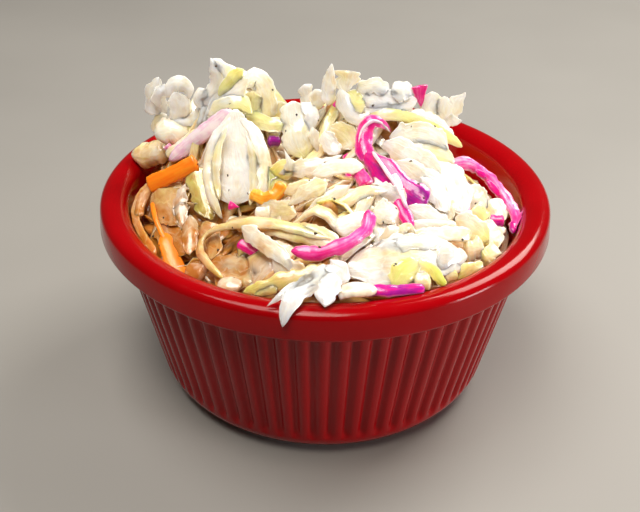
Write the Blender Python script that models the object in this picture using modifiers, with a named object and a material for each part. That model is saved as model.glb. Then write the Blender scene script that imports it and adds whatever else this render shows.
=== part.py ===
"""A fluted melamine ramekin heaped with coleslaw.

Two solids: the cup, which is one turned shell with flutes pressed into its wall, and the heap of slaw,
which fills the cup and rises over its rim in two lumps. The origin is the middle of the foot ring's face,
+Z is up and the heap's lower, open side faces +X.
"""

import math

import bmesh
import bpy
from mathutils import Vector, noise

MM = 0.001

# Cup: driving dimensions
RIM_RADIUS = 44.5 * MM
CUP_HEIGHT = 41.4 * MM
FOOT_RADIUS = 27.0 * MM
WALL_THICKNESS = 3.2 * MM

# Cup: foot and rounded bottom
FOOT_WIDTH = 3.6 * MM
RECESS_DEPTH = 1.2 * MM
BOTTOM_ARC_WIDTH = 8.1 * MM
BOTTOM_ARC_HEIGHT = 6.3 * MM
WALL_FOOT_RADIUS = 35.0 * MM
WALL_FOOT_HEIGHT = 5.3 * MM

# Cup: the collar under the lip
COLLAR_HEIGHT = 5.5 * MM
COLLAR_STEP = 2.6 * MM
COLLAR_CHAMFER = 0.6 * MM
LIP_EDGE_RADIUS = RIM_RADIUS - 0.65 * MM
LIP_EDGE_DROP = 1.3 * MM
LIP_CREST_RADIUS = RIM_RADIUS - 2.4 * MM
LIP_ROLL_DROP = 2.6 * MM

# Cup: inside
FLOOR_HEIGHT = 3.4 * MM
FLOOR_CORNER = 6.0 * MM

# Cup: flutes
FLUTE_COUNT = 72
FLUTE_DEPTH = 0.85 * MM
FLUTE_SAMPLES = 4
FLUTE_SHARPNESS = 0.7
FLUTE_START = WALL_FOOT_HEIGHT + 0.3 * MM
FLUTE_FADE = 1.7 * MM
ROUND_STEPS = 72

# Slaw: a heap that stays clear of the cup by this gap
HEAP_GAP = 0.35 * MM
HEAP_STEPS = 84
HEAP_RINGS = 22
HEAP_MIDDLE = 46.5 * MM
HEAP_FLATNESS = 2.4
EDGE_CALM = 8
# Level of the slaw against the wall in eight directions, from +X and then anticlockwise
WALL_LEVELS = [level * MM for level in (34.0, 34.0, 39.0, 42.0, 38.0, 35.0, 41.0, 36.5)]
# The lumps that rise over the middle and the hollows by the wall: centre x, centre y, height and spread
LUMPS = [
    tuple(size * MM for size in lump)
    for lump in (
        (-20.0, 6.0, 14.0, 7.5),
        (-31.0, 13.0, 13.0, 6.0),
        (-12.0, 8.0, 7.0, 5.0),
        (2.0, 7.0, 12.0, 5.0),
        (13.0, 6.0, 12.0, 7.5),
        (23.0, 6.0, 8.0, 5.5),
        (4.0, -14.0, 3.5, 11.0),
        (-24.0, -18.0, -4.5, 7.0),
        (31.5, 6.0, -6.5, 8.0),
        (26.0, 20.0, -5.0, 7.0),
    )
]
# Long shreds lying over the heap: start x, y, end x, y, height and half width
SHREDS = [
    tuple(size * MM for size in shred)
    for shred in (
        (-26.0, -8.0, -17.0, 12.0, 3.0, 4.5),
        (-20.0, -22.0, 4.0, -22.0, 2.2, 2.4),
        (-4.0, -27.0, 14.0, -14.0, 2.6, 2.2),
        (6.0, -4.0, 21.0, -16.0, 2.6, 2.6),
        (8.0, -30.0, 25.0, -24.0, 2.4, 4.0),
        (-10.0, -34.0, -2.0, -27.0, 3.0, 2.8),
        (24.0, -6.0, 31.0, -16.0, 2.2, 2.0),
        (-33.0, -4.0, -25.0, 3.0, 2.4, 2.6),
        (-8.0, 20.0, 6.0, 26.0, 2.6, 2.6),
        (10.0, 22.0, 26.0, 18.0, 2.6, 2.4),
        (-26.0, 24.0, -14.0, 30.0, 2.4, 2.4),
        (-6.0, -10.0, 8.0, -4.0, 2.4, 2.6),
    )
]
# Unevenness from the many small pieces
BUMP_SIZE = 5.5 * MM
BUMP_HEIGHT = 3.2 * MM

# sRGB colour and roughness
MELAMINE = ((0.78, 0.03, 0.07), 0.16)
SLAW = ((0.93, 0.89, 0.72), 0.35)


def clear_scene():
    for item in list(bpy.data.objects):
        bpy.data.objects.remove(item, do_unlink=True)


def linear(channel):
    """Turns one sRGB channel into a linear one."""
    return channel / 12.92 if channel <= 0.04045 else ((channel + 0.055) / 1.055) ** 2.4


def material(name, look):
    colour, roughness = look
    made = bpy.data.materials.new(name)
    made.use_nodes = True
    shader = made.node_tree.nodes["Principled BSDF"]
    shader.inputs["Base Color"].default_value = (*map(linear, colour), 1.0)
    shader.inputs["Roughness"].default_value = roughness
    shader.inputs["Metallic"].default_value = 0.0
    return made


def arc(centre, width, height, start, end, steps):
    """Points (radius, height) on an ellipse, from angle start to end in degrees."""
    points = []
    for step in range(steps + 1):
        angle = math.radians(start + (end - start) * step / steps)
        points.append((centre[0] + width * math.cos(angle), centre[1] + height * math.sin(angle)))
    return points


def inner_radius(height):
    """Radius of the cup's inner wall, which runs parallel to the fluted one."""
    rise = (height - WALL_FOOT_HEIGHT) / (CUP_HEIGHT - COLLAR_HEIGHT - WALL_FOOT_HEIGHT)
    return WALL_FOOT_RADIUS + rise * (collar_wall_radius() - WALL_FOOT_RADIUS) - WALL_THICKNESS


def collar_wall_radius():
    """Radius of the fluted wall where it runs into the collar."""
    return RIM_RADIUS - COLLAR_CHAMFER - COLLAR_STEP


def turned(profile, steps):
    """A bmesh of the profile turned about the Z axis, made by a Screw modifier."""
    sketch = bpy.data.meshes.new("profile")
    sketch.from_pydata([(r, 0.0, z) for r, z in profile], [(i, i + 1) for i in range(len(profile) - 1)], [])
    holder = bpy.data.objects.new("profile", sketch)
    bpy.context.scene.collection.objects.link(holder)
    screw = holder.modifiers.new("turn", "SCREW")
    screw.steps = steps
    screw.render_steps = steps
    screw.use_merge_vertices = True
    screw.merge_threshold = 0.00001
    graph = bpy.context.evaluated_depsgraph_get()
    shape = bmesh.new()
    shape.from_mesh(bpy.data.meshes.new_from_object(holder.evaluated_get(graph)))
    bpy.data.objects.remove(holder, do_unlink=True)
    return shape


def add(target, other):
    """Copies one bmesh into another."""
    mesh = bpy.data.meshes.new("section")
    other.to_mesh(mesh)
    target.from_mesh(mesh)
    other.free()
    bpy.data.meshes.remove(mesh)


def open_loops(shape, height):
    """Open edges that lie at this height, where two turned sections meet."""
    return [
        edge
        for edge in shape.edges
        if edge.is_boundary and all(abs(vert.co.z - height) < 0.02 * MM for vert in edge.verts)
    ]


def finish(shape, name, look, parts, sharp_angle):
    """Makes the bmesh an object that faces outwards, with its material and smooth shading."""
    bmesh.ops.remove_doubles(shape, verts=shape.verts, dist=0.005 * MM)
    bmesh.ops.recalc_face_normals(shape, faces=shape.faces)
    mesh = bpy.data.meshes.new(name)
    shape.to_mesh(mesh)
    shape.free()
    mesh.materials.append(material(name, look))
    mesh.shade_smooth()
    mesh.set_sharp_from_angle(angle=math.radians(sharp_angle))
    piece = bpy.data.objects.new(name, mesh)
    parts.objects.link(piece)
    return piece


def underside_profile():
    """From the recess inside the foot ring, over the foot and up the rounded bottom."""
    foot_inner = FOOT_RADIUS - FOOT_WIDTH
    bottom = arc((FOOT_RADIUS, BOTTOM_ARC_HEIGHT), BOTTOM_ARC_WIDTH, BOTTOM_ARC_HEIGHT, -90, -20, 4)
    return [
        (0.0, RECESS_DEPTH),
        (foot_inner - RECESS_DEPTH, RECESS_DEPTH),
        (foot_inner, 0.0),
        *bottom,
        (WALL_FOOT_RADIUS, WALL_FOOT_HEIGHT),
    ]


def collar_and_inside_profile():
    """From under the collar over the lip, then down the inner wall to the middle of the floor."""
    collar_foot = CUP_HEIGHT - COLLAR_HEIGHT
    lip_centre = (LIP_CREST_RADIUS, CUP_HEIGHT - LIP_EDGE_DROP)
    lip_top = arc(lip_centre, LIP_EDGE_RADIUS - LIP_CREST_RADIUS, LIP_EDGE_DROP, 0, 90, 3)
    roll_height = CUP_HEIGHT - LIP_ROLL_DROP
    roll_width = LIP_CREST_RADIUS - inner_radius(roll_height)
    lip_roll = arc((LIP_CREST_RADIUS, roll_height), roll_width, LIP_ROLL_DROP, 90, 180, 5)
    corner_height = FLOOR_HEIGHT + FLOOR_CORNER
    corner_radius = inner_radius(corner_height) - FLOOR_CORNER
    corner = arc((corner_radius, corner_height), FLOOR_CORNER, FLOOR_CORNER, 0, -90, 4)
    return [
        (collar_wall_radius() + COLLAR_CHAMFER, collar_foot),
        (RIM_RADIUS - COLLAR_CHAMFER, collar_foot),
        (RIM_RADIUS, collar_foot + COLLAR_CHAMFER),
        *lip_top,
        *lip_roll[1:],
        *corner,
        (0.0, FLOOR_HEIGHT),
    ]


def fluted_wall():
    """The wall's outer face: broad ribs with narrow grooves between them, fading out at the bottom."""
    top = CUP_HEIGHT - COLLAR_HEIGHT
    levels = (FLUTE_START, FLUTE_START + FLUTE_FADE, top)
    wall = turned([(WALL_FOOT_RADIUS, level) for level in levels], FLUTE_COUNT * FLUTE_SAMPLES)
    slope = (collar_wall_radius() - WALL_FOOT_RADIUS) / (top - WALL_FOOT_HEIGHT)
    for vertex in wall.verts:
        angle = math.atan2(vertex.co.y, vertex.co.x)
        plain = WALL_FOOT_RADIUS + slope * (vertex.co.z - WALL_FOOT_HEIGHT)
        fade = min(1.0, (vertex.co.z - FLUTE_START) / FLUTE_FADE)
        groove = 1.0 - abs(math.cos(FLUTE_COUNT * angle / 2)) ** FLUTE_SHARPNESS
        radius = plain - FLUTE_DEPTH * groove * fade
        vertex.co.x = radius * math.cos(angle)
        vertex.co.y = radius * math.sin(angle)
    return wall


def build_cup(parts):
    """One closed shell, from three turned sections joined where the flutes begin and end."""
    shape = turned(underside_profile(), ROUND_STEPS)
    add(shape, turned(collar_and_inside_profile(), ROUND_STEPS))
    add(shape, fluted_wall())
    lower = open_loops(shape, WALL_FOOT_HEIGHT) + open_loops(shape, FLUTE_START)
    upper = open_loops(shape, CUP_HEIGHT - COLLAR_HEIGHT)
    bmesh.ops.bridge_loops(shape, edges=lower)
    bmesh.ops.bridge_loops(shape, edges=upper)
    return finish(shape, "cup", MELAMINE, parts, 35)


def wall_level(angle):
    """Level of the slaw against the wall, eased from one of the eight directions to the next."""
    turn = (angle / (2 * math.pi)) % 1.0 * len(WALL_LEVELS)
    first = int(turn)
    ease = (1 - math.cos(math.pi * (turn - first))) / 2
    start, end = WALL_LEVELS[first % len(WALL_LEVELS)], WALL_LEVELS[(first + 1) % len(WALL_LEVELS)]
    return start + (end - start) * ease


def shred_rise(x, y, shred):
    """How far a shred raises the heap's top at (x, y)."""
    start, end = Vector(shred[0:2]), Vector(shred[2:4])
    height, half_width = shred[4:6]
    along = end - start
    share = max(0.0, min(1.0, (Vector((x, y)) - start).dot(along) / along.length_squared))
    distance = (Vector((x, y)) - start - along * share).length
    return height * math.exp(-((distance / half_width) ** 2))


def heap_height(x, y, share):
    """Level of the heap's top at (x, y), where share is the way from the middle to the wall."""
    edge = wall_level(math.atan2(y, x))
    level = HEAP_MIDDLE + (edge - HEAP_MIDDLE) * share**HEAP_FLATNESS
    inside = 1.0 - share**EDGE_CALM
    for lump_x, lump_y, height, spread in LUMPS:
        level += inside * height * math.exp(-((x - lump_x) ** 2 + (y - lump_y) ** 2) / spread**2)
    level += inside * sum(shred_rise(x, y, shred) for shred in SHREDS)
    bump = noise.noise(Vector((x, y, level)) / BUMP_SIZE)
    return level + BUMP_HEIGHT * bump * inside


def build_slaw(parts):
    """One solid that fills the cup, with a gap to it, out to the heap's uneven top."""
    corner_height = FLOOR_HEIGHT + FLOOR_CORNER
    corner_radius = inner_radius(corner_height) - FLOOR_CORNER
    corner_round = FLOOR_CORNER - HEAP_GAP
    corner = arc((corner_radius, corner_height), corner_round, corner_round, -90, 0, 3)
    outer = inner_radius(min(WALL_LEVELS)) - HEAP_GAP
    top_rings = [(outer * (1 - ring / HEAP_RINGS), min(WALL_LEVELS)) for ring in range(HEAP_RINGS + 1)]
    shape = turned([(0.0, FLOOR_HEIGHT + HEAP_GAP), *corner, *top_rings], HEAP_STEPS)
    roll_height = CUP_HEIGHT - LIP_ROLL_DROP
    for vertex in shape.verts:
        if vertex.co.z < min(WALL_LEVELS) - HEAP_GAP:
            continue
        share = math.hypot(vertex.co.x, vertex.co.y) / outer
        # The heap's outline follows the wall, which widens up to where the lip rolls outwards.
        level = min(wall_level(math.atan2(vertex.co.y, vertex.co.x)), roll_height)
        widening = 1 + share * ((inner_radius(level) - HEAP_GAP) / outer - 1)
        vertex.co.x *= widening
        vertex.co.y *= widening
        vertex.co.z = heap_height(vertex.co.x, vertex.co.y, share)
    return finish(shape, "slaw", SLAW, parts, 60)


def main():
    clear_scene()
    parts = bpy.data.collections.new("Coleslaw")
    bpy.context.scene.collection.children.link(parts)
    build_cup(parts)
    build_slaw(parts)


main()
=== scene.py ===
# Coleslaw heaped in a red fluted ramekin: shredded white and red cabbage, carrot and pepper in a creamy dressing.
import math
import random
from functools import partial

import bmesh
import bpy
import numpy as np
from mathutils import Euler, Matrix, Vector, noise
from mathutils.bvhtree import BVHTree


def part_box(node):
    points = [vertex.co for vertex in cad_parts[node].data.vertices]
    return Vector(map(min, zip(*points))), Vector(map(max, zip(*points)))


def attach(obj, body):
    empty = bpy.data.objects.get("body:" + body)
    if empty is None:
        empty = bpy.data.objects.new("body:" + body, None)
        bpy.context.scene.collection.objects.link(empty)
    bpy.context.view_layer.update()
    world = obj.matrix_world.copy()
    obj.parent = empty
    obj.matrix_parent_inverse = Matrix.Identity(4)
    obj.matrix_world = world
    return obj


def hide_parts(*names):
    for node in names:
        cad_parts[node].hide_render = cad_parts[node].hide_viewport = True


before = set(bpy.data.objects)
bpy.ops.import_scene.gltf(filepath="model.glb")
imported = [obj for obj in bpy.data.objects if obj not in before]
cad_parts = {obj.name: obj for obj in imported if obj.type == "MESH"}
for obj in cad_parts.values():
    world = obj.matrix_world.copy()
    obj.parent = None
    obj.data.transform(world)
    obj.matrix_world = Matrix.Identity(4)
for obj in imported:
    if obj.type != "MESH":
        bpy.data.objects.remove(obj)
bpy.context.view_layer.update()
mm = 0.001
cupLow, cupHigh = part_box("cup")
print("frame loaded")


# ---- small helpers

def toLinear(hexCode, alpha=1.0):
    channels = [int(hexCode[i:i + 2], 16) / 255 for i in (1, 3, 5)]
    return tuple(c / 12.92 if c <= 0.04045 else ((c + 0.055) / 1.055) ** 2.4 for c in channels) + (alpha,)


def addNode(tree, kind, settings=None, links=None):
    # lower-case settings are the node's own, the others set its sockets
    node = tree.nodes.new(kind)
    for name, value in (settings or {}).items():
        if isinstance(name, int) or name[0].isupper():
            node.inputs[name].default_value = value
        elif name == "stops":
            ramp = node.color_ramp
            while len(ramp.elements) < len(value):
                ramp.elements.new(0.5)
            for element, (place, hexCode) in zip(ramp.elements, value):
                element.position = place
                element.color = toLinear(hexCode)
        else:
            setattr(node, name, value)
    for name, source in (links or {}).items():
        tree.links.new(source, node.inputs[name])
    return node


def newMaterial(name):
    made = bpy.data.materials.new(name)
    made.use_nodes = True
    tree = made.node_tree
    return made, tree, tree.nodes["Principled BSDF"]


def setShader(shader, settings):
    for name, value in settings.items():
        shader.inputs[name].default_value = value


def meshPiece(name, bm, material, replaces=None):
    # every piece rides on the one body and stands for a CAD node
    mesh = bpy.data.meshes.new(name)
    bm.to_mesh(mesh)
    bm.free()
    mesh.materials.append(material)
    mesh.shade_smooth()
    piece = bpy.data.objects.new(name, mesh)
    bpy.context.scene.collection.objects.link(piece)
    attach(piece, "root")
    if replaces:
        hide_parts(replaces)
    print(name, len(mesh.polygons), "faces")
    return piece


# ---- camera, lights and floor

view = {
    "target": Vector((0, 0, 24.8)) * mm,
    "distance": 186.3 * mm,
    "elevation": 32.73,
    "tilt": 57.04,  # from straight down
    "turn": 0.32,
    "roll": 0.80,
    "lens": 50,
}


def makeCamera():
    camera = bpy.data.objects.new("camera", bpy.data.cameras.new("camera"))
    camera.data.lens = view["lens"]
    camera.data.sensor_width = 36
    camera.data.clip_start = 0.01
    rise = math.radians(view["elevation"])
    away = Vector((0, -math.cos(rise), math.sin(rise))) * view["distance"]
    aim = Euler((math.radians(view["tilt"]), 0, math.radians(view["turn"]))).to_matrix()
    roll = Matrix.Rotation(math.radians(view["roll"]), 3, "Z")
    camera.matrix_world = Matrix.LocRotScale(view["target"] + away, (aim @ roll).to_quaternion(), None)
    bpy.context.scene.collection.objects.link(camera)
    bpy.context.scene.camera = camera


lights = {
    # name: azimuth from +X and height in degrees, distance, size, watts, colour
    "window": (40, 46, 0.62, 0.30, 4.0, "#FFFAF0"),
    "overhead": (200, 76, 0.60, 0.30, 2.6, "#FFFAF2"),
    "rightStrip": (-22, 5, 0.50, 0.16, 1.5, "#FFFFFF"),
    "frontFill": (-98, 66, 0.75, 0.30, 3.3, "#FFF6E8"),
}
skyLight = ("#FFF4E6", 0.09)


def makeLights():
    world = bpy.data.worlds.new("softRoom")
    world.use_nodes = True
    world.node_tree.nodes["Background"].inputs["Color"].default_value = toLinear(skyLight[0])
    world.node_tree.nodes["Background"].inputs["Strength"].default_value = skyLight[1]
    bpy.context.scene.world = world
    middle = (cupLow + cupHigh) / 2
    for name, (azimuth, height, distance, size, watts, hexCode) in lights.items():
        lamp = bpy.data.lights.new(name, "AREA")
        lamp.shape = "SQUARE"
        lamp.size = size
        lamp.energy = watts
        lamp.color = toLinear(hexCode)[:3]
        holder = bpy.data.objects.new(name, lamp)
        across = math.radians(azimuth)
        up = math.radians(height)
        direction = Vector((math.cos(across) * math.cos(up), math.sin(across) * math.cos(up), math.sin(up)))
        holder.location = middle + direction * distance
        holder.rotation_euler = (-direction).to_track_quat("-Z", "Y").to_euler()
        bpy.context.scene.collection.objects.link(holder)


def makeFloor():
    painted, tree, shader = newMaterial("paintedFloor")  # pale matt paint, evenly lit
    grain = addNode(tree, "ShaderNodeTexNoise", {"Scale": 30.0, "Detail": 3.0})
    tone = addNode(tree, "ShaderNodeValToRGB", {"stops": [(0.3, "#878582"), (0.7, "#8D8B88")]}, {"Fac": grain.outputs["Fac"]})
    tree.links.new(tone.outputs["Color"], shader.inputs["Base Color"])
    setShader(shader, {"Roughness": 0.6})
    bm = bmesh.new()
    bmesh.ops.create_grid(bm, x_segments=1, y_segments=1, size=1.6)
    mesh = bpy.data.meshes.new("floor")
    bm.to_mesh(mesh)
    bm.free()
    mesh.materials.append(painted)
    floor = bpy.data.objects.new("floor", mesh)
    bpy.context.scene.collection.objects.link(floor)


bpy.context.scene.view_settings.view_transform = "Standard"
makeCamera()
makeLights()
makeFloor()
print("camera, lights and floor made")


# ---- the cup

cup = {
    "rim": cupHigh.x / mm,  # outer radius of the collar
    "height": cupHigh.z / mm,
    "collar": 5.5,
    "collarStep": 3.2,
    "edgeRound": 0.7,
    "crestIn": 2.4,  # from the rim in to the highest ring of the lip
    "lipDrop": 2.6,
    "wall": 3.2,
    "footRadius": 27.0,
    "footWidth": 3.6,
    "recess": 1.2,
    "bottomArc": (8.1, 6.3),
    "wallFoot": (35.0, 5.3),
    "floor": 3.4,
    "floorCorner": 6.0,
    "flutes": 72,
    "fluteDepth": 0.85,
    "fluteStart": 5.7,
    "fluteFade": 1.5,
    "steps": 576,  # eight to a flute
}


def cupInner(height):
    # inner radius in mm at a height in mm, below the lip's roll
    footRadius, footHeight = cup["wallFoot"]
    topRadius = cup["rim"] - cup["collarStep"]
    rise = (height - footHeight) / (cup["height"] - cup["collar"] - footHeight)
    return footRadius + rise * (topRadius - footRadius) - cup["wall"]


def arcPoints(centre, width, height, start, end, steps):
    turns = [math.radians(start + (end - start) * i / steps) for i in range(steps + 1)]
    return [(centre[0] + width * math.cos(t), centre[1] + height * math.sin(t)) for t in turns]


def cupProfile():
    top, rim = cup["height"], cup["rim"]
    collarFoot = top - cup["collar"]
    wallTop = rim - cup["collarStep"]
    footRadius, footHeight = cup["wallFoot"]
    footIn = cup["footRadius"] - cup["footWidth"]
    crest = rim - cup["crestIn"]
    rollHeight = top - cup["lipDrop"]
    points = [(0, cup["recess"]), (footIn - 1.6, cup["recess"])]
    points += arcPoints((footIn + 0.5, 0.5), 0.5, 0.5, 180, 270, 4)
    points += arcPoints((cup["footRadius"] - 0.2, cup["bottomArc"][1]), cup["bottomArc"][0] + 0.2, cup["bottomArc"][1], -90, -14, 12)
    # the fluted wall, in rows close enough to carry the grooves' rounded ends
    rows = [0.0, 0.02, 0.04, 0.06, 0.08, 0.12, 0.2, 0.35, 0.5, 0.65, 0.8, 0.9, 0.96, 0.985]
    points += [(footRadius + (wallTop - footRadius) * s, footHeight + (collarFoot - footHeight) * s) for s in rows]
    points += arcPoints((wallTop + 0.5, collarFoot - 0.5), 0.5, 0.5, 180, 90, 4)
    points += [((wallTop + rim) / 2 + 0.3, collarFoot)]
    points += arcPoints((rim - cup["edgeRound"], collarFoot + cup["edgeRound"]), cup["edgeRound"], cup["edgeRound"], -90, 0, 5)
    points += arcPoints((crest, top - 1.5), rim - 0.35 - crest, 1.5, 4, 90, 10)
    points += arcPoints((crest, rollHeight), crest - cupInner(rollHeight), cup["lipDrop"], 96, 180, 12)
    cornerHeight = cup["floor"] + cup["floorCorner"]
    cornerRadius = cupInner(cornerHeight) - cup["floorCorner"]
    points += [(cupInner(cornerHeight + s * (rollHeight - cornerHeight)), cornerHeight + s * (rollHeight - cornerHeight))
               for s in (0.75, 0.5, 0.25)]
    points += arcPoints((cornerRadius, cornerHeight), cup["floorCorner"], cup["floorCorner"], 0, -90, 8)
    points += [(0, cup["floor"])]
    return points


def fluteGroove(turn, height):
    # 0 on a rib's crest and 1 in the groove, dying away in a rounded end near the foot
    wave = 0.5 - 0.5 * math.cos(cup["flutes"] * turn)
    groove = wave ** 2.2
    rise = (height - cup["fluteStart"]) / cup["fluteFade"]
    top = (cup["height"] - cup["collar"] + 0.1 - height) / 0.8
    fade = max(0.0, min(1.0, rise)) ** 0.5 * max(0.0, min(1.0, top)) ** 0.5
    return groove * fade


def melamineMaterial():
    # moulded melamine: hard, evenly red all through, with a clear gloss dulled by stacking scuffs
    made, tree, shader = newMaterial("moulded_melamine")
    place = addNode(tree, "ShaderNodeTexCoord")
    cloud = addNode(tree, "ShaderNodeTexNoise", {"Scale": 60.0, "Detail": 4.0}, {"Vector": place.outputs["Object"]})
    tone = addNode(tree, "ShaderNodeValToRGB", {"stops": [(0.3, "#8A0005"), (0.7, "#940108")]}, {"Fac": cloud.outputs["Fac"]})
    tree.links.new(tone.outputs["Color"], shader.inputs["Base Color"])
    scuff = addNode(tree, "ShaderNodeTexNoise", {"Scale": 420.0, "Detail": 6.0, "Roughness": 0.7}, {"Vector": place.outputs["Object"]})
    rough = addNode(tree, "ShaderNodeMapRange", {"From Min": 0.35, "From Max": 0.75, "To Min": 0.1, "To Max": 0.2}, {"Value": scuff.outputs["Fac"]})
    tree.links.new(rough.outputs["Result"], shader.inputs["Roughness"])
    ripple = addNode(tree, "ShaderNodeTexNoise", {"Scale": 90.0, "Detail": 2.0}, {"Vector": place.outputs["Object"]})
    bump = addNode(tree, "ShaderNodeBump", {"Strength": 0.04, "Distance": 0.0004}, {"Height": ripple.outputs["Fac"]})
    tree.links.new(bump.outputs["Normal"], shader.inputs["Normal"])
    setShader(shader, {"IOR": 1.5, "Specular IOR Level": 0.2})
    return made


def makeCup():
    bm = bmesh.new()
    points = cupProfile()
    made = [bm.verts.new((r * mm, 0, z * mm)) for r, z in points]
    edges = [bm.edges.new(pair) for pair in zip(made, made[1:])]
    bmesh.ops.spin(bm, geom=made + edges, cent=(0, 0, 0), axis=(0, 0, 1), angle=math.tau, steps=cup["steps"], use_merge=True)
    bmesh.ops.remove_doubles(bm, verts=bm.verts, dist=0.002 * mm)
    footRadius, footHeight = cup["wallFoot"]
    low, high = footHeight * mm, (cup["height"] - cup["collar"] + 0.05) * mm
    for vert in bm.verts:
        radius = math.hypot(vert.co.x, vert.co.y)
        if low < vert.co.z < high and radius > (cupInner(vert.co.z / mm) + cup["wall"] * 0.6) * mm:
            turn = math.atan2(vert.co.y, vert.co.x)
            depth = cup["fluteDepth"] * fluteGroove(turn, vert.co.z / mm) * mm
            vert.co.x -= depth * math.cos(turn)
            vert.co.y -= depth * math.sin(turn)
    bmesh.ops.recalc_face_normals(bm, faces=bm.faces)
    return meshPiece("ramekin", bm, melamineMaterial(), "cup")


makeCup()


# ---- the heap that the shreds lie on

heap = {
    "grid": 0.5,  # mm between the samples of its top
    "blur": 3,
    "coreDrop": 2.6,  # how far the core lies below the heap's outside
    "soakShadeDepth": 3.6,  # depth in mm below the heap's outside at which shreds take the full dressing tint and painted crevice shade
    "soakShadeTop": 54.0,  # the height in mm below which shreds take dressing tint and painted shade, more of it towards the shaded left
}


def sampleHeap():
    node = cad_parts["slaw"]
    bm = bmesh.new()
    bm.from_mesh(node.data)
    tree = BVHTree.FromBMesh(bm)
    bm.free()
    count = int(88 / heap["grid"]) + 1
    tops = np.full((count, count), np.nan)
    for i in range(count):
        for j in range(count):
            x, y = -44 + i * heap["grid"], -44 + j * heap["grid"]
            hit = tree.ray_cast(Vector((x, y, 100)) * mm, Vector((0, 0, -1)))
            if hit[0]:
                tops[i, j] = hit[0].z / mm
    # outside the heap its rim level carries on
    while np.isnan(tops).any():
        filled = tops.copy()
        for shift in ((1, 0), (-1, 0), (0, 1), (0, -1)):
            moved = np.roll(tops, shift, (0, 1))
            filled = np.where(np.isnan(filled), moved, filled)
        tops = filled
    return tops


def blurred(grid, times):
    for _ in range(times):
        padded = np.pad(grid, 1, mode="edge")
        grid = (padded[:-2, 1:-1] + padded[2:, 1:-1] + padded[1:-1, :-2] + padded[1:-1, 2:] + 2 * padded[1:-1, 1:-1]) / 6
    return grid


heapTops = sampleHeap()
heapSoft = blurred(heapTops, 12)
slopeX, slopeY = np.gradient(heapSoft, heap["grid"])


def lookUp(grid, x, y):
    i = np.clip((np.asarray(x) + 44) / heap["grid"], 0, grid.shape[0] - 1.001)
    j = np.clip((np.asarray(y) + 44) / heap["grid"], 0, grid.shape[1] - 1.001)
    a, b = i.astype(int), j.astype(int)
    s, t = i - a, j - b
    return (grid[a, b] * (1 - s) * (1 - t) + grid[a + 1, b] * s * (1 - t)
            + grid[a, b + 1] * (1 - s) * t + grid[a + 1, b + 1] * s * t)


def heapNormals(points):
    gx, gy = lookUp(slopeX, points[:, 0], points[:, 1]), lookUp(slopeY, points[:, 0], points[:, 1])
    made = np.stack([-gx, -gy, np.ones(len(points))], 1)
    return made / np.linalg.norm(made, axis=1, keepdims=True)


def keepInCup(points):
    # presses what would pass through the cup against its inside, or lifts it onto the lip
    radius = np.hypot(points[:, 0], points[:, 1])
    height = points[:, 2]
    rollHeight = cup["height"] - cup["lipDrop"]
    crest = cup["rim"] - cup["crestIn"]
    inner = cupInner(np.minimum(height, rollHeight)) - 0.25
    inward = np.clip((crest - radius) / (crest - cupInner(rollHeight)), -1, 1)
    lipTop = rollHeight + cup["lipDrop"] * np.sqrt(1 - inward ** 2) + 0.15
    overLip = (radius > inner) & (radius < cup["rim"] + 1) & (height > rollHeight - 1.0)
    points[:, 2] = np.where(overLip & (inward > -0.9), np.maximum(height, lipTop), height)
    through = (radius > inner) & ~overLip & (radius < cup["rim"] - 0.5) & (height > 3)
    scale = np.where(through, inner / np.maximum(radius, 1e-6), 1.0)
    points[:, 0] *= scale
    points[:, 1] *= scale
    points[:, 2] = np.maximum(points[:, 2], cup["floor"] + 0.3)
    return points


print("heap sampled", heapTops.shape)


# ---- how a shred is cut and laid

def makeBlank(sections, around):
    # a closed bar of unit length and radius: a ring drawn out along X and filled at both ends
    bm = bmesh.new()
    bmesh.ops.create_circle(bm, cap_ends=False, segments=around, radius=1.0, matrix=Matrix.Rotation(math.pi / 2, 4, "Y"))
    loop = bm.edges[:]
    for _ in range(sections):
        drawn = bmesh.ops.extrude_edge_only(bm, edges=loop)["geom"]
        loop = [item for item in drawn if isinstance(item, bmesh.types.BMEdge)]
        bmesh.ops.translate(bm, verts=[item for item in drawn if isinstance(item, bmesh.types.BMVert)], vec=(1.0 / sections, 0, 0))
    bmesh.ops.holes_fill(bm, edges=bm.edges)
    bmesh.ops.recalc_face_normals(bm, faces=bm.faces)
    bm.verts.layers.float_vector.new("lie")
    bm.verts.layers.float_color.new("look")
    mesh = bpy.data.meshes.new("blank")
    bm.to_mesh(mesh)
    bm.free()
    mesh.shade_smooth()
    places = np.empty(len(mesh.vertices) * 3)
    mesh.vertices.foreach_get("co", places)
    places = places.reshape(-1, 3)
    return {"mesh": mesh, "section": np.rint(places[:, 0] * sections).astype(int), "cut": places[:, 1:], "sections": sections}


def smoothPath(points, count):
    # a Catmull-Rom curve through the points, with evenly spaced samples
    points = np.asarray(points, float)
    if len(points) == 2:
        points = np.stack([points[0], points.mean(0), points[1]])
    ends = np.vstack([2 * points[0] - points[1], points, 2 * points[-1] - points[-2]])
    fine = []
    for k in range(len(points) - 1):
        a, b, c, d = ends[k:k + 4]
        t = np.linspace(0, 1, 24, endpoint=False)[:, None]
        fine.append(0.5 * (2 * b + (c - a) * t + (2 * a - 5 * b + 4 * c - d) * t ** 2 + (3 * b - a - 3 * c + d) * t ** 3))
    fine = np.vstack(fine + [points[-1:]])
    steps = np.r_[0, np.cumsum(np.linalg.norm(np.diff(fine, axis=0), axis=1))]
    even = np.linspace(0, steps[-1], count)
    return np.stack([np.interp(even, steps, fine[:, k]) for k in range(3)], 1), steps[-1]


def unit(vectors):
    return vectors / np.maximum(np.linalg.norm(vectors, axis=-1, keepdims=True), 1e-9)


def wave(seed, places, scale):
    # smooth random values from -1 to 1 along a shred
    return np.array([noise.noise(Vector((p * scale, seed * 7.31, seed * 1.7))) for p in places]) * 1.6


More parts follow.
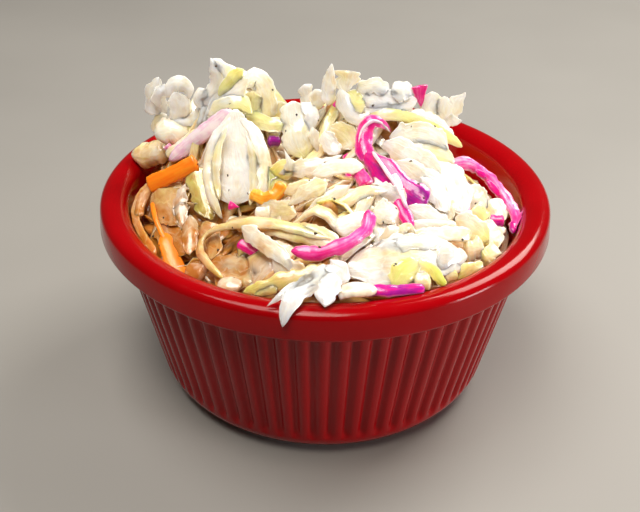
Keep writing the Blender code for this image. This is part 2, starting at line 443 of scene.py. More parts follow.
usual = {
    "width": 2.4,
    "thick": 0.9,
    "press": 1.0,  # share of its thickness that is left
    "ends": (0.06, 0.06),  # share of the length over which each end narrows
    "point": 0.5,  # 0.5 rounds an end off, 1 makes it a straight point
    "taper": (1.0, 1.0),  # its width at the start and at the end
    "roll": 0.0,  # degrees about its run
    "twist": 0.0,  # degrees more by its end
    "curl": 0.3,  # radians that the section bends across
    "ruffle": 0.0,  # height in mm of the waves in its edges
    "waves": 3.0,
    "jitter": 0.10,  # unevenness of the cut edges
    "frill": 0.0,  # lobes in the edges, as a share of the width
    "crease": 0.0,  # height in mm of the folds that run along it
    "folds": 2.0,  # how many of those lie across it
    "crumple": 0.0,  # height in mm of its random dents
    "tone": (0.2, 0.3),  # from the white rib to the green leaf
    "edgeTone": 0.0,
    "square": 0.55,
    "wet": 1.0,  # how much of the dressing tint and painted shade it takes
    "facing": None,  # the way its flat side looks, where it doesn't lie on the heap
}


def layShred(bm, blank, path, seed, **own):
    spec = {**usual, **own}
    count = blank["sections"] + 1
    spine, length = smoothPath(path, count)
    along = np.linspace(0, 1, count)
    tangent = unit(np.gradient(spine, axis=0))
    if spec["facing"] is None:
        facing = blurredRows(heapNormals(spine), 3)
    else:
        facing = np.tile(unit(np.array(spec["facing"], float)), (count, 1))
    normal = unit(facing - tangent * (facing * tangent).sum(1, keepdims=True))
    across = np.cross(normal, tangent)
    angle = np.radians(spec["roll"] + spec["twist"] * along)[:, None]
    normal, across = normal * np.cos(angle) - across * np.sin(angle), across * np.cos(angle) + normal * np.sin(angle)
    # the outline: each end narrows, and the two cut edges wander on their own
    start, end = spec["ends"]
    narrow = np.minimum(1, (along + 0.004) / max(start, 0.004)) ** spec["point"] * np.minimum(1, (1.004 - along) / max(end, 0.004)) ** spec["point"]
    half = spec["width"] / 2 * narrow * (spec["taper"][0] + (spec["taper"][1] - spec["taper"][0]) * along)
    left, right = (half * (1 + spec["jitter"] * (wave(side, along * length, 0.35) + 0.5 * wave(side + 3, along * length, 1.1)
                                                 + 0.4 * wave(side + 5, along * length, 2.0))) for side in (seed, seed + 11))
    if spec["frill"]:
        left = left * (1 + spec["frill"] * np.abs(np.sin(along * length * 1.15 + seed)) - spec["frill"] / 2)
        right = right * (1 + spec["frill"] * np.abs(np.sin(along * length * 0.95 + seed * 1.9)) - spec["frill"] / 2)
    thin = spec["thick"] * spec["press"] / 2 * np.minimum(1, narrow + 0.25) * (1 + 0.12 * wave(seed + 23, along * length, 0.2))
    row = blank["section"]
    c, s = blank["cut"][:, 0], blank["cut"][:, 1]
    power = spec["square"]
    y = np.sign(c) * np.abs(c) ** power
    z = np.sign(s) * np.abs(s) ** power * thin[row] * (1 - 0.4 * np.abs(y) ** 3)
    wide = np.where(y > 0, left[row], right[row])
    edge = np.abs(y)
    flat = y * wide
    # the section curls like a leaf's
    bend = spec["curl"] / max(spec["width"], 0.1)
    if abs(bend) > 1e-6:
        flat, z = np.sin(flat * bend) / bend, z * np.cos(flat * bend) - (1 - np.cos(flat * bend)) / bend
    if spec["crease"]:
        drift = 1.4 * np.sin(along[row] * 2.2 + seed) + seed
        z = z + spec["crease"] * np.sin(math.pi * spec["folds"] * y + drift) * (0.4 + 0.6 * narrow[row])
    if spec["ruffle"]:
        phase = along[row] * spec["waves"] * math.tau + np.where(y > 0, seed, seed * 1.7 + 1.3)
        z = z + spec["ruffle"] * edge ** 1.6 * (np.sin(phase) + 0.35 * np.sin(2.3 * phase + seed))
    placed = spine[row] + across[row] * flat[:, None] + normal[row] * z[:, None]
    if spec["crumple"]:
        middle = spine[row] + across[row] * flat[:, None]
        dents = np.array([noise.noise(Vector(p) * 0.25) + 0.3 * noise.noise(Vector(p) * 0.8) for p in middle + seed])
        placed = placed + normal[row] * (spec["crumple"] * dents)[:, None]
    placed = keepInCup(placed)
    mesh = blank["mesh"].copy()
    mesh.vertices.foreach_set("co", (placed * mm).astype(np.float32).ravel())
    lie = np.stack([along[row] * length, y * spec["width"] / 2, np.full(len(row), seed % 17.0)], 1)
    mesh.attributes["lie"].data.foreach_set("vector", lie.astype(np.float32).ravel())
    tone = spec["tone"][0] + (spec["tone"][1] - spec["tone"][0]) * along[row] + spec["edgeTone"] * (y * 0.5 + 0.5) ** 2 + 0.08 * edge ** 4
    # painted shade mixed with dressing tint: a shred sunk below the heap's outside, lying low or lying further left on
    # the shaded side gets more amber darkening
    soakShade = (lookUp(heapSoft, placed[:, 0], placed[:, 1]) - placed[:, 2]) / heap["soakShadeDepth"]
    low = np.clip((heap["soakShadeTop"] - placed[:, 2]) / 16, 0, 1) * np.clip(0.6 - placed[:, 0] / 70, 0.2, 1)
    soakShade = np.clip(np.clip(soakShade, 0, 1) + low, 0, 1) * spec["wet"]
    look = np.stack([np.clip(tone, 0, 1), edge, soakShade, np.ones(len(row))], 1)
    mesh.attributes["look"].data.foreach_set("color", look.astype(np.float32).ravel())
    bm.from_mesh(mesh)
    bpy.data.meshes.remove(mesh)


def blurredRows(rows, times):
    for _ in range(times):
        padded = np.vstack([rows[:1], rows, rows[-1:]])
        rows = unit(padded[:-2] + padded[1:-1] + padded[2:])
    return rows


fineBlank = makeBlank(30, 12)
leafBlank = makeBlank(26, 20)
coarseBlank = makeBlank(10, 6)  # those of the filler are laid by the hundred, so they have only a few dozen faces
flakeBlank = makeBlank(7, 8)


# ---- what the shreds are made of

def veinNet(tree):
    # the leaf's net of veins, in cells about 2 mm across and twice as long: 1 on a vein
    lie = addNode(tree, "ShaderNodeAttribute", {"attribute_name": "lie"})
    drawn = addNode(tree, "ShaderNodeVectorMath", {"operation": "MULTIPLY", 1: (0.24, 0.5, 3.7)}, {0: lie.outputs["Vector"]})
    bent = addNode(tree, "ShaderNodeTexNoise", {"Scale": 1.3, "Detail": 1.0}, {"Vector": drawn.outputs["Vector"]})
    moved = addNode(tree, "ShaderNodeVectorMath", {"operation": "ADD"}, {0: drawn.outputs["Vector"], 1: bent.outputs["Color"]})
    cells = addNode(tree, "ShaderNodeTexVoronoi", {"feature": "DISTANCE_TO_EDGE", "Scale": 1.0}, {"Vector": moved.outputs["Vector"]})
    return addNode(tree, "ShaderNodeMapRange", {"From Min": 0.0, "From Max": 0.13, "To Min": 1.0, "To Max": 0.0}, {"Value": cells.outputs["Distance"]})


def fibreBump(tree, spacing, strength, distance, veins=None):
    # fine lines along each shred, from cells spaced this many mm apart
    lie = addNode(tree, "ShaderNodeAttribute", {"attribute_name": "lie"})
    drawn = addNode(tree, "ShaderNodeVectorMath", {"operation": "MULTIPLY", 1: (0.12 / spacing, 1.0 / spacing, 3.7)}, {0: lie.outputs["Vector"]})
    lines = addNode(tree, "ShaderNodeTexNoise", {"Scale": 1.0, "Detail": 3.0, "Roughness": 0.55}, {"Vector": drawn.outputs["Vector"]})
    place = addNode(tree, "ShaderNodeTexCoord")
    lumps = addNode(tree, "ShaderNodeTexNoise", {"Scale": 900.0, "Detail": 3.0}, {"Vector": place.outputs["Object"]})
    both = addNode(tree, "ShaderNodeMath", {"operation": "ADD"}, {0: lines.outputs["Fac"], 1: lumps.outputs["Fac"]})
    if veins:
        both = addNode(tree, "ShaderNodeMath", {"operation": "MULTIPLY_ADD", 1: 0.5}, {0: veins.outputs["Result"], 2: both.outputs["Value"]})
    bump = addNode(tree, "ShaderNodeBump", {"Strength": strength, "Distance": distance}, {"Height": both.outputs["Value"]})
    return bump, lines


def cabbageMaterial():
    # dressed white cabbage: watery, half see-through flesh, white at the rib and yellow-green at the leaf
    made, tree, shader = newMaterial("dressed_white_cabbage")
    look = addNode(tree, "ShaderNodeAttribute", {"attribute_name": "look"})
    parts = addNode(tree, "ShaderNodeSeparateColor", {}, {"Color": look.outputs["Color"]})
    veins = veinNet(tree)
    bump, lines = fibreBump(tree, 0.35, 0.26, 0.00028, veins)
    place = addNode(tree, "ShaderNodeTexCoord")
    patches = addNode(tree, "ShaderNodeTexNoise", {"Scale": 170.0, "Detail": 3.0}, {"Vector": place.outputs["Object"]})
    sway = addNode(tree, "ShaderNodeMapRange", {"From Min": 0.3, "From Max": 0.7, "To Min": -0.2, "To Max": 0.26}, {"Value": patches.outputs["Fac"]})
    tone = addNode(tree, "ShaderNodeMath", {"operation": "ADD"}, {0: parts.outputs["Red"], 1: sway.outputs["Result"]})
    stripe = addNode(tree, "ShaderNodeMapRange", {"From Min": 0.3, "From Max": 0.7, "To Min": -0.08, "To Max": 0.08}, {"Value": lines.outputs["Fac"]})
    total = addNode(tree, "ShaderNodeMath", {"operation": "ADD"}, {0: tone.outputs["Value"], 1: stripe.outputs["Result"]})
    colour = addNode(tree, "ShaderNodeValToRGB", {"stops": [
        (0.0, "#FFFFF6"), (0.22, "#FFF8E2"), (0.42, "#FBE8B8"), (0.65, "#F4EA9C"), (0.85, "#E4E888"), (1.0, "#C8D262")]},
        {"Fac": total.outputs["Value"]})
    # painted see-through shade: patches of flesh between the veins are darkened towards amber, as if the shaded heap
    # behind showed through
    clear = addNode(tree, "ShaderNodeTexNoise", {"Scale": 320.0, "Detail": 2.0}, {"Vector": place.outputs["Object"]})
    between = addNode(tree, "ShaderNodeMapRange", {"From Min": 0.45, "From Max": 0.72, "To Min": 0.0, "To Max": 0.3}, {"Value": clear.outputs["Fac"]})
    seeThroughShade = addNode(tree, "ShaderNodeMath", {"operation": "MULTIPLY_ADD", 1: -0.16}, {0: veins.outputs["Result"], 2: between.outputs["Result"]})
    # painted shade mixed with dressing tint: the colour is multiplied towards amber by the shade mask in the look
    # attribute plus the see-through patches
    depth = addNode(tree, "ShaderNodeMath", {"operation": "ADD", "use_clamp": True}, {0: parts.outputs["Blue"], 1: seeThroughShade.outputs["Value"]})
    soaked_and_shaded = addNode(tree, "ShaderNodeMix", {"data_type": "RGBA", "blend_type": "MULTIPLY", 7: toLinear("#BC7C3C")},
                     {0: depth.outputs["Value"], 6: colour.outputs["Color"]})
    # painted highlight: a cut edge is drawn paler than the face, as if catching the light, and less so where the
    # painted shade lies
    rimmed = addNode(tree, "ShaderNodeMapRange", {"From Min": 0.86, "From Max": 1.0, "To Min": 0.0, "To Max": 0.5}, {"Value": parts.outputs["Green"]})
    rimHighlight = addNode(tree, "ShaderNodeMath", {"operation": "MULTIPLY_ADD", "use_clamp": True, 1: -0.4}, {0: depth.outputs["Value"], 2: rimmed.outputs["Result"]})
    edged = addNode(tree, "ShaderNodeMix", {"data_type": "RGBA", "blend_type": "MIX", 7: toLinear("#FFF9EA")},
                    {0: rimHighlight.outputs["Value"], 6: soaked_and_shaded.outputs[2]})
    tree.links.new(edged.outputs[2], shader.inputs["Base Color"])
    tree.links.new(bump.outputs["Normal"], shader.inputs["Normal"])
    setShader(shader, {
        "Roughness": 0.24, "IOR": 1.40, "Subsurface Weight": 0.8, "Subsurface Radius": (1.0, 0.86, 0.66),
        "Subsurface Scale": 0.0019, "Coat Weight": 1.0, "Coat Roughness": 0.03})
    return made


def redCabbageMaterial():
    # dressed red cabbage: thin purple skin over flesh that the dressing has turned pink
    made, tree, shader = newMaterial("dressed_red_cabbage")
    look = addNode(tree, "ShaderNodeAttribute", {"attribute_name": "look"})
    parts = addNode(tree, "ShaderNodeSeparateColor", {}, {"Color": look.outputs["Color"]})
    bump, lines = fibreBump(tree, 0.4, 0.3, 0.0002)
    place = addNode(tree, "ShaderNodeTexCoord")
    patches = addNode(tree, "ShaderNodeTexNoise", {"Scale": 420.0, "Detail": 3.0}, {"Vector": place.outputs["Object"]})
    mottle = addNode(tree, "ShaderNodeMath", {"operation": "ADD"}, {0: lines.outputs["Fac"], 1: patches.outputs["Fac"]})
    stripe = addNode(tree, "ShaderNodeMapRange", {"From Min": 0.75, "From Max": 1.25, "To Min": -0.13, "To Max": 0.13}, {"Value": mottle.outputs["Value"]})
    total = addNode(tree, "ShaderNodeMath", {"operation": "ADD"}, {0: parts.outputs["Red"], 1: stripe.outputs["Result"]})
    colour = addNode(tree, "ShaderNodeValToRGB", {"stops": [
        (0.0, "#FBE9F0"), (0.2, "#EDB7D6"), (0.4, "#EA4FA2"), (0.58, "#E3147C"), (0.8, "#A3128C"), (1.0, "#68106C")]},
        {"Fac": total.outputs["Value"]})
    rimmed = addNode(tree, "ShaderNodeMapRange", {"From Min": 0.8, "From Max": 1.0, "To Min": 0.0, "To Max": 0.45}, {"Value": parts.outputs["Green"]})
    edged = addNode(tree, "ShaderNodeMix", {"data_type": "RGBA", "blend_type": "MIX", 7: toLinear("#F7CFE2")},
                    {0: rimmed.outputs["Result"], 6: colour.outputs["Color"]})
    tree.links.new(edged.outputs[2], shader.inputs["Base Color"])
    tree.links.new(bump.outputs["Normal"], shader.inputs["Normal"])
    setShader(shader, {
        "Roughness": 0.25, "IOR": 1.40, "Subsurface Weight": 0.35, "Subsurface Radius": (1.0, 0.35, 0.6),
        "Subsurface Scale": 0.0014, "Coat Weight": 0.6, "Coat Roughness": 0.06})
    return made


def carrotMaterial():
    # raw carrot: dense, vivid orange, faintly ribbed by the blade
    made, tree, shader = newMaterial("grated_carrot")
    bump, lines = fibreBump(tree, 0.5, 0.35, 0.0002)
    look = addNode(tree, "ShaderNodeAttribute", {"attribute_name": "look"})
    parts = addNode(tree, "ShaderNodeSeparateColor", {}, {"Color": look.outputs["Color"]})
    total = addNode(tree, "ShaderNodeMath", {"operation": "MULTIPLY_ADD", 1: 0.7}, {0: parts.outputs["Red"], 2: lines.outputs["Fac"]})
    colour = addNode(tree, "ShaderNodeValToRGB", {"stops": [(0.3, "#FF7606"), (0.6, "#FF8E1A"), (0.9, "#FFA62E"), (1.0, "#FFBC46")]}, {"Fac": total.outputs["Value"]})
    tree.links.new(colour.outputs["Color"], shader.inputs["Base Color"])
    tree.links.new(bump.outputs["Normal"], shader.inputs["Normal"])
    setShader(shader, {
        "Roughness": 0.35, "IOR": 1.42, "Subsurface Weight": 0.35, "Subsurface Radius": (1.0, 0.4, 0.1),
        "Subsurface Scale": 0.0016, "Coat Weight": 0.4, "Coat Roughness": 0.12})
    return made


def coreMaterial():
    # shreds deep in the heap, seen only through gaps: dressing colour darkened to amber as painted shade
    made, tree, shader = newMaterial("soaked_shreds")
    place = addNode(tree, "ShaderNodeTexCoord")
    grain = addNode(tree, "ShaderNodeTexNoise", {"Scale": 260.0, "Detail": 4.0, "Distortion": 1.2}, {"Vector": place.outputs["Object"]})
    colour = addNode(tree, "ShaderNodeValToRGB", {"stops": [(0.3, "#8E5A22"), (0.5, "#C08A48"), (0.7, "#DDB878")]}, {"Fac": grain.outputs["Fac"]})
    bump = addNode(tree, "ShaderNodeBump", {"Strength": 0.8, "Distance": 0.0008}, {"Height": grain.outputs["Fac"]})
    tree.links.new(colour.outputs["Color"], shader.inputs["Base Color"])
    tree.links.new(bump.outputs["Normal"], shader.inputs["Normal"])
    setShader(shader, {"Roughness": 0.35, "Subsurface Weight": 0.3, "Subsurface Radius": (1.0, 0.6, 0.3), "Subsurface Scale": 0.002})
    return made


def pepperMaterial():
    made, tree, shader = newMaterial("cracked_pepper")  # cracked black pepper: nearly black husk, brown where broken
    place = addNode(tree, "ShaderNodeTexCoord")
    grain = addNode(tree, "ShaderNodeTexNoise", {"Scale": 1500.0, "Detail": 2.0}, {"Vector": place.outputs["Object"]})
    colour = addNode(tree, "ShaderNodeValToRGB", {"stops": [(0.35, "#1A120C"), (0.7, "#5A3A1C")]}, {"Fac": grain.outputs["Fac"]})
    tree.links.new(colour.outputs["Color"], shader.inputs["Base Color"])
    setShader(shader, {"Roughness": 0.5})
    return made


whiteCabbage = cabbageMaterial()
redCabbage = redCabbageMaterial()
carrotFlesh = carrotMaterial()
print("materials made")


# ---- the core under the shreds

def makeCore():
    bm = bmesh.new()
    bm.from_mesh(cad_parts["slaw"].data)
    bmesh.ops.remove_doubles(bm, verts=bm.verts, dist=0.01 * mm)
    rimLevel = 30 * mm
    for vert in bm.verts:
        if vert.co.z > rimLevel:
            vert.co.z -= heap["coreDrop"] * mm
            vert.co.x *= 0.985
            vert.co.y *= 0.985
    subdivided = bmesh.ops.subdivide_edges(bm, edges=bm.edges, cuts=1, use_grid_fill=True, smooth=0.3)
    for vert in bm.verts:
        if vert.co.z > rimLevel - 3 * mm:
            lump = noise.noise(vert.co * 210) * 1.3 + noise.noise(vert.co * 520) * 0.6
            vert.co.z += lump * mm
    bmesh.ops.triangulate(bm, faces=bm.faces)
    return meshPiece("soaked_core", bm, coreMaterial(), "slaw")


makeCore()


# ---- the shreds that can be told apart, placed one by one

toCamera = (0, -0.84, 0.54)


def layLeftPeak(lay):
    # the frilly two-lobed curl that leans out on its broad stem
    lay("flake", [(-31.6, 5.8, 53.2), (-33.9, 5.5, 56.6), (-32.4, 5.5, 60.8)], width=5.0, thick=0.8, facing=toCamera, curl=0.9, crease=0.35, frill=0.3, ends=(0.35, 0.6), point=0.6, tone=(0.02, 0.0))
    lay("flake", [(-32.6, 5.0, 54.5), (-32.8, 4.6, 57.4), (-31.3, 5.0, 59.6)], width=2.6, thick=0.8, facing=(0.5, -0.7, 0.5), curl=0.8, frill=0.3, ends=(0.4, 0.4), tone=(0.0, 0.04))
    lay("flake", [(-31.2, 5.5, 56.6), (-30.1, 5.5, 59.1), (-28.4, 5.5, 59.6), (-27.0, 5.5, 58.4), (-26.9, 5.3, 56.5)], width=2.9, thick=1.0, facing=toCamera, curl=0.9, crease=0.15, frill=0.2, ends=(0.3, 0.25), tone=(0.04, 0.0))
    lay("flake", [(-29.6, 5.0, 58.0), (-28.9, 4.8, 55.0), (-29.9, 4.5, 51.4)], width=4.3, thick=1.0, facing=toCamera, curl=1.2, crease=0.2, ends=(0.3, 0.2), tone=(0.03, 0.1))
    lay("flake", [(-31.2, 5.0, 52.9), (-33.0, 5.0, 51.8), (-33.8, 5.0, 49.0)], width=3.0, facing=toCamera, tone=(0.25, 0.35), curl=0.8)
    lay("stem", [(-34.0, 4.0, 49.4), (-30.6, 4.0, 50.2), (-27.0, 4.0, 49.2)], width=5.4, thick=3.2, square=0.7, ends=(0.3, 0.3), tone=(0.2, 0.28), facing=toCamera)
    lay("stem", [(-40.0, 9.5, 42.0), (-36.2, 7.5, 43.2), (-32.0, 5.0, 45.4)], width=5.0, thick=3.6, square=0.7, ends=(0.3, 0.2), tone=(0.4, 0.25), facing=toCamera)
    # long shreds that run up and fold over the highest point
    lay("flake", [(-30.2, 4.0, 52.2), (-26.9, 4.0, 52.6), (-24.6, 3.5, 54.0), (-22.6, 3.4, 57.0)], width=2.2, thick=1.0, facing=toCamera, crease=0.1, taper=(0.8, 1.5), ends=(0.2, 0.2), tone=(0.05, 0.0))
    lay("flake", [(-23.8, 3.0, 55.4), (-22.6, 3.0, 58.3), (-21.4, 3.0, 60.6), (-21.0, 3.0, 62.6), (-21.5, 3.0, 64.4), (-21.9, 3.0, 65.8)], width=2.2, thick=1.0, taper=(1.5, 0.8), facing=toCamera, crease=0.1, frill=0.1, ends=(0.15, 0.2), tone=(0.0, 0.04))
    lay("flake", [(-23.2, 3.2, 55.6), (-24.4, 3.0, 57.6), (-23.0, 3.0, 59.5)], width=2.6, thick=0.9, facing=toCamera, curl=0.9, tone=(0.1, 0.2))
    lay("flake", [(-22.0, 3.3, 65.4), (-20.0, 3.5, 64.0), (-18.3, 3.0, 62.8), (-17.3, 3.0, 60.8)], width=3.0, thick=0.9, facing=toCamera, curl=0.9, crease=0.12, taper=(0.75, 1.2), tone=(0.1, 0.25), ends=(0.2, 0.2))
    lay("flake", [(-15.6, 2.0, 64.0), (-17.5, 1.8, 62.7), (-19.2, 1.6, 60.9), (-20.6, 1.4, 58.9)], width=2.5, thick=0.7, facing=toCamera, crease=0.1, frill=0.1, tone=(0.5, 0.68), ends=(0.2, 0.3))
    lay("flake", [(-20.8, 1.2, 57.8), (-17.8, 1.2, 60.0), (-14.8, 1.2, 62.6)], width=4.4, thick=0.7, facing=toCamera, curl=0.8, crease=0.25, tone=(0.0, 0.06), ends=(0.3, 0.3))
    lay("flake", [(-16.0, 3.5, 59.8), (-13.6, 3.5, 61.4), (-11.9, 3.0, 58.2), (-12.0, 2.5, 53.4)], width=4.6, thick=0.8, facing=toCamera, curl=0.9, crease=0.25, tone=(0.08, 0.2), ends=(0.25, 0.15))
    lay("flake", [(-14.2, 2.8, 59.4), (-14.3, 2.4, 56.6), (-13.9, 2.0, 53.6)], width=3.4, facing=toCamera, curl=0.8, crease=0.2, tone=(0.3, 0.38))
    lay("flake", [(-9.2, 4.0, 57.0), (-9.1, 4.0, 54.0), (-8.6, 3.6, 51.0)], width=3.6, facing=toCamera, curl=0.6, tone=(0.28, 0.42), ends=(0.12, 0.2))
    lay("flake", [(-22.6, 0.0, 55.4), (-19.6, 0.0, 57.7), (-16.6, 0.0, 58.2), (-14.0, 0.0, 56.0)], width=3.2, facing=toCamera, curl=0.9, tone=(0.32, 0.46), ends=(0.25, 0.25))
    lay("flake", [(-17.2, 1.0, 55.6), (-13.8, 1.0, 54.2), (-10.7, 1.0, 53.2), (-7.4, 1.0, 53.4)], width=3.4, facing=toCamera, curl=0.7, tone=(0.42, 0.58), ends=(0.2, 0.2))
    lay("paleRed", [(-17.9, -1, 57.0), (-21.3, -1, 54.3), (-25.3, -1, 50.8), (-30.6, -1, 46.2)], width=3.0, curl=0.3, thick=1.0, facing=toCamera, tone=(0.02, 0.07), ends=(0.1, 0.2))
    lay("ribbon", [(-24.8, 0.4, 51.9), (-28.0, 0.4, 49.0), (-31.4, 0.4, 46.6)], width=2.0, facing=toCamera, tone=(0.3, 0.4))
    # the broad boat-shaped leaf between its two raised edges
    lay("flake", [(-16.9, -3.6, 58.4), (-16.9, -5.4, 54.0), (-16.8, -9.0, 49.2), (-17.0, -13.4, 43.6)], width=10.6, thick=0.8, facing=toCamera, curl=0.3, crease=0.12, folds=1.6, frill=0.0, ends=(0.45, 0.18), point=0.6, jitter=0.08, crumple=0.35, tone=(-0.14, -0.12), wet=0.05)
    lay("flake", [(-17.6, -6.6, 58.0), (-20.4, -7.4, 54.6), (-21.9, -9.8, 50.6), (-21.3, -13.2, 46.2), (-19.0, -16.2, 42.2)], width=2.0, thick=1.0, facing=(-0.4, -0.8, 0.5), curl=0.6, crease=0.15, folds=1.0, tone=(0.1, 0.2), ends=(0.2, 0.15))
    lay("flake", [(-18.0, -7.6, 57.0), (-19.6, -8.4, 53.6), (-20.2, -10.8, 49.6), (-19.4, -14.4, 45.0)], width=1.6, thick=0.8, facing=toCamera, curl=0.6, tone=(0.42, 0.3), ends=(0.3, 0.3))
    lay("flake", [(-16.0, -6.6, 58.0), (-13.0, -7.0, 54.6), (-11.3, -9.6, 50.6), (-11.2, -13.0, 46.6), (-12.4, -15.0, 43.8)], width=2.9, thick=0.9, facing=(0.4, -0.8, 0.5), curl=0.7, crease=0.2, folds=1.2, tone=(0.05, 0.25), ends=(0.2, 0.2))
    lay("flake", [(-14.6, -8.0, 55.2), (-13.4, -9.6, 51.4), (-13.2, -12.0, 47.4), (-13.8, -14.6, 44.2)], width=2.0, thick=0.7, facing=toCamera, curl=0.8, tone=(0.3, 0.4), ends=(0.35, 0.25))
    lay("flake", [(-15.0, -7.4, 51.0), (-13.6, -8.4, 49.4), (-13.2, -10.4, 47.2)], width=2.8, thick=0.8, facing=toCamera, curl=0.9, tone=(0.32, 0.42), ends=(0.3, 0.3))
    lay("red", [(-17.8, -14.6, 44.2), (-15.7, -14.6, 43.8)], width=1.6, thick=0.5, ends=(0.05, 0.8), point=1, facing=toCamera, tone=(0.52, 0.56))
    lay("stem", [(-17.8, -16.0, 41.4), (-14.6, -16.4, 41.6)], width=3, thick=2, tone=(0.1, 0.2))


def layLeftSide(lay):
    lay("carrot", [(-34.4, -5, 42.8), (-29, -6, 46.0), (-24.4, -6, 48.6)], width=3.3, thick=1.2, ends=(0.03, 0.03), facing=toCamera)
    lay("carrot", [(-29.8, 1.5, 47.4), (-26.6, 0.5, 49.9)], width=1.8, thick=1.2, facing=toCamera)
    lay("paleRed", [(-31.4, 1.2, 48.4), (-30.0, 1.2, 46.6)], width=1.7, facing=toCamera, tone=(0.28, 0.33))
    lay("flake", [(-24.8, -6, 47.4), (-23.6, -9.6, 45.0), (-21.0, -14.6, 41.0)], width=4.8, curl=0.9, tone=(0.6, 0.92), facing=toCamera, ends=(0.1, 0.25))
    lay("flake", [(-26.4, -9.5, 45.6), (-27.2, -12.5, 42.6), (-26.4, -16, 39.6)], width=3.0, ends=(0.4, 0.3), facing=toCamera, curl=0.9, tone=(0, 0.04), frill=0.3)
    lay("carrot", [(-33, -9.4, 41.4), (-31.5, -14.0, 40.2), (-29.5, -17.8, 38.4)], width=0.9, thick=0.7, facing=toCamera)
    lay("carrot", [(-29.9, -16.2, 38.9), (-28.2, -20.2, 37.0), (-26.0, -24.4, 34.8)], width=3.3, thick=1.2, ends=(0.25, 0.05), facing=(0.2, -0.75, 0.6))
    lay("ribbon", [(-34.3, 1, 41.0), (-36.3, -5, 40.0), (-36.0, -11, 39.4), (-34.0, -16, 38.8), (-30.5, -22, 37.8)], width=1.6, thick=0.8, tone=(0.3, 0.4), facing=toCamera)
    lay("ribbon", [(-33.2, -2.5, 42.6), (-35.4, -7.5, 40.8), (-35.3, -11.5, 39.6)], width=1.9, thick=0.8, tone=(0.25, 0.3), facing=toCamera)
    lay("flake", [(-32.5, -5, 42.6), (-30, -10, 42.2), (-27.5, -15.5, 40.4)], width=7, curl=0.8, tone=(0.3, 0.4), facing=toCamera)
    lay("flake", [(-31.4, -12, 39.6), (-28.8, -17.5, 38.4), (-25, -21, 37.6)], width=5.5, curl=0.6, tone=(0.25, 0.4), facing=toCamera)
    lay("flake", [(-25.2, -14, 41.6), (-24.6, -18, 40.2), (-24.4, -22.4, 38.4)], width=3.0, curl=1.2, tone=(0.2, 0.3), facing=toCamera)
    lay("flake", [(-22.5, -16.5, 41.4), (-20.5, -21, 40.4), (-20, -25, 39.0)], width=4.4, curl=0.9, tone=(0.35, 0.5))
    lay("flake", [(-23.8, -23.6, 36.8), (-20, -26.2, 38.2), (-16, -28.2, 39.5), (-11.5, -31, 40.2)], width=5.0, jitter=0.25, curl=0.5, tone=(0.2, 0.3), frill=0.3)
    lay("stem", [(-24.2, -25.4, 36.8), (-21, -27.4, 37.8)], width=3.4, thick=2.2, tone=(0.15, 0.25), square=0.6)
    lay("flake", [(-19, -29.5, 38.6), (-15.5, -31.5, 39.6), (-12, -33.5, 40.0)], width=3.6, tone=(0.3, 0.45), crease=0.4, frill=0.4)


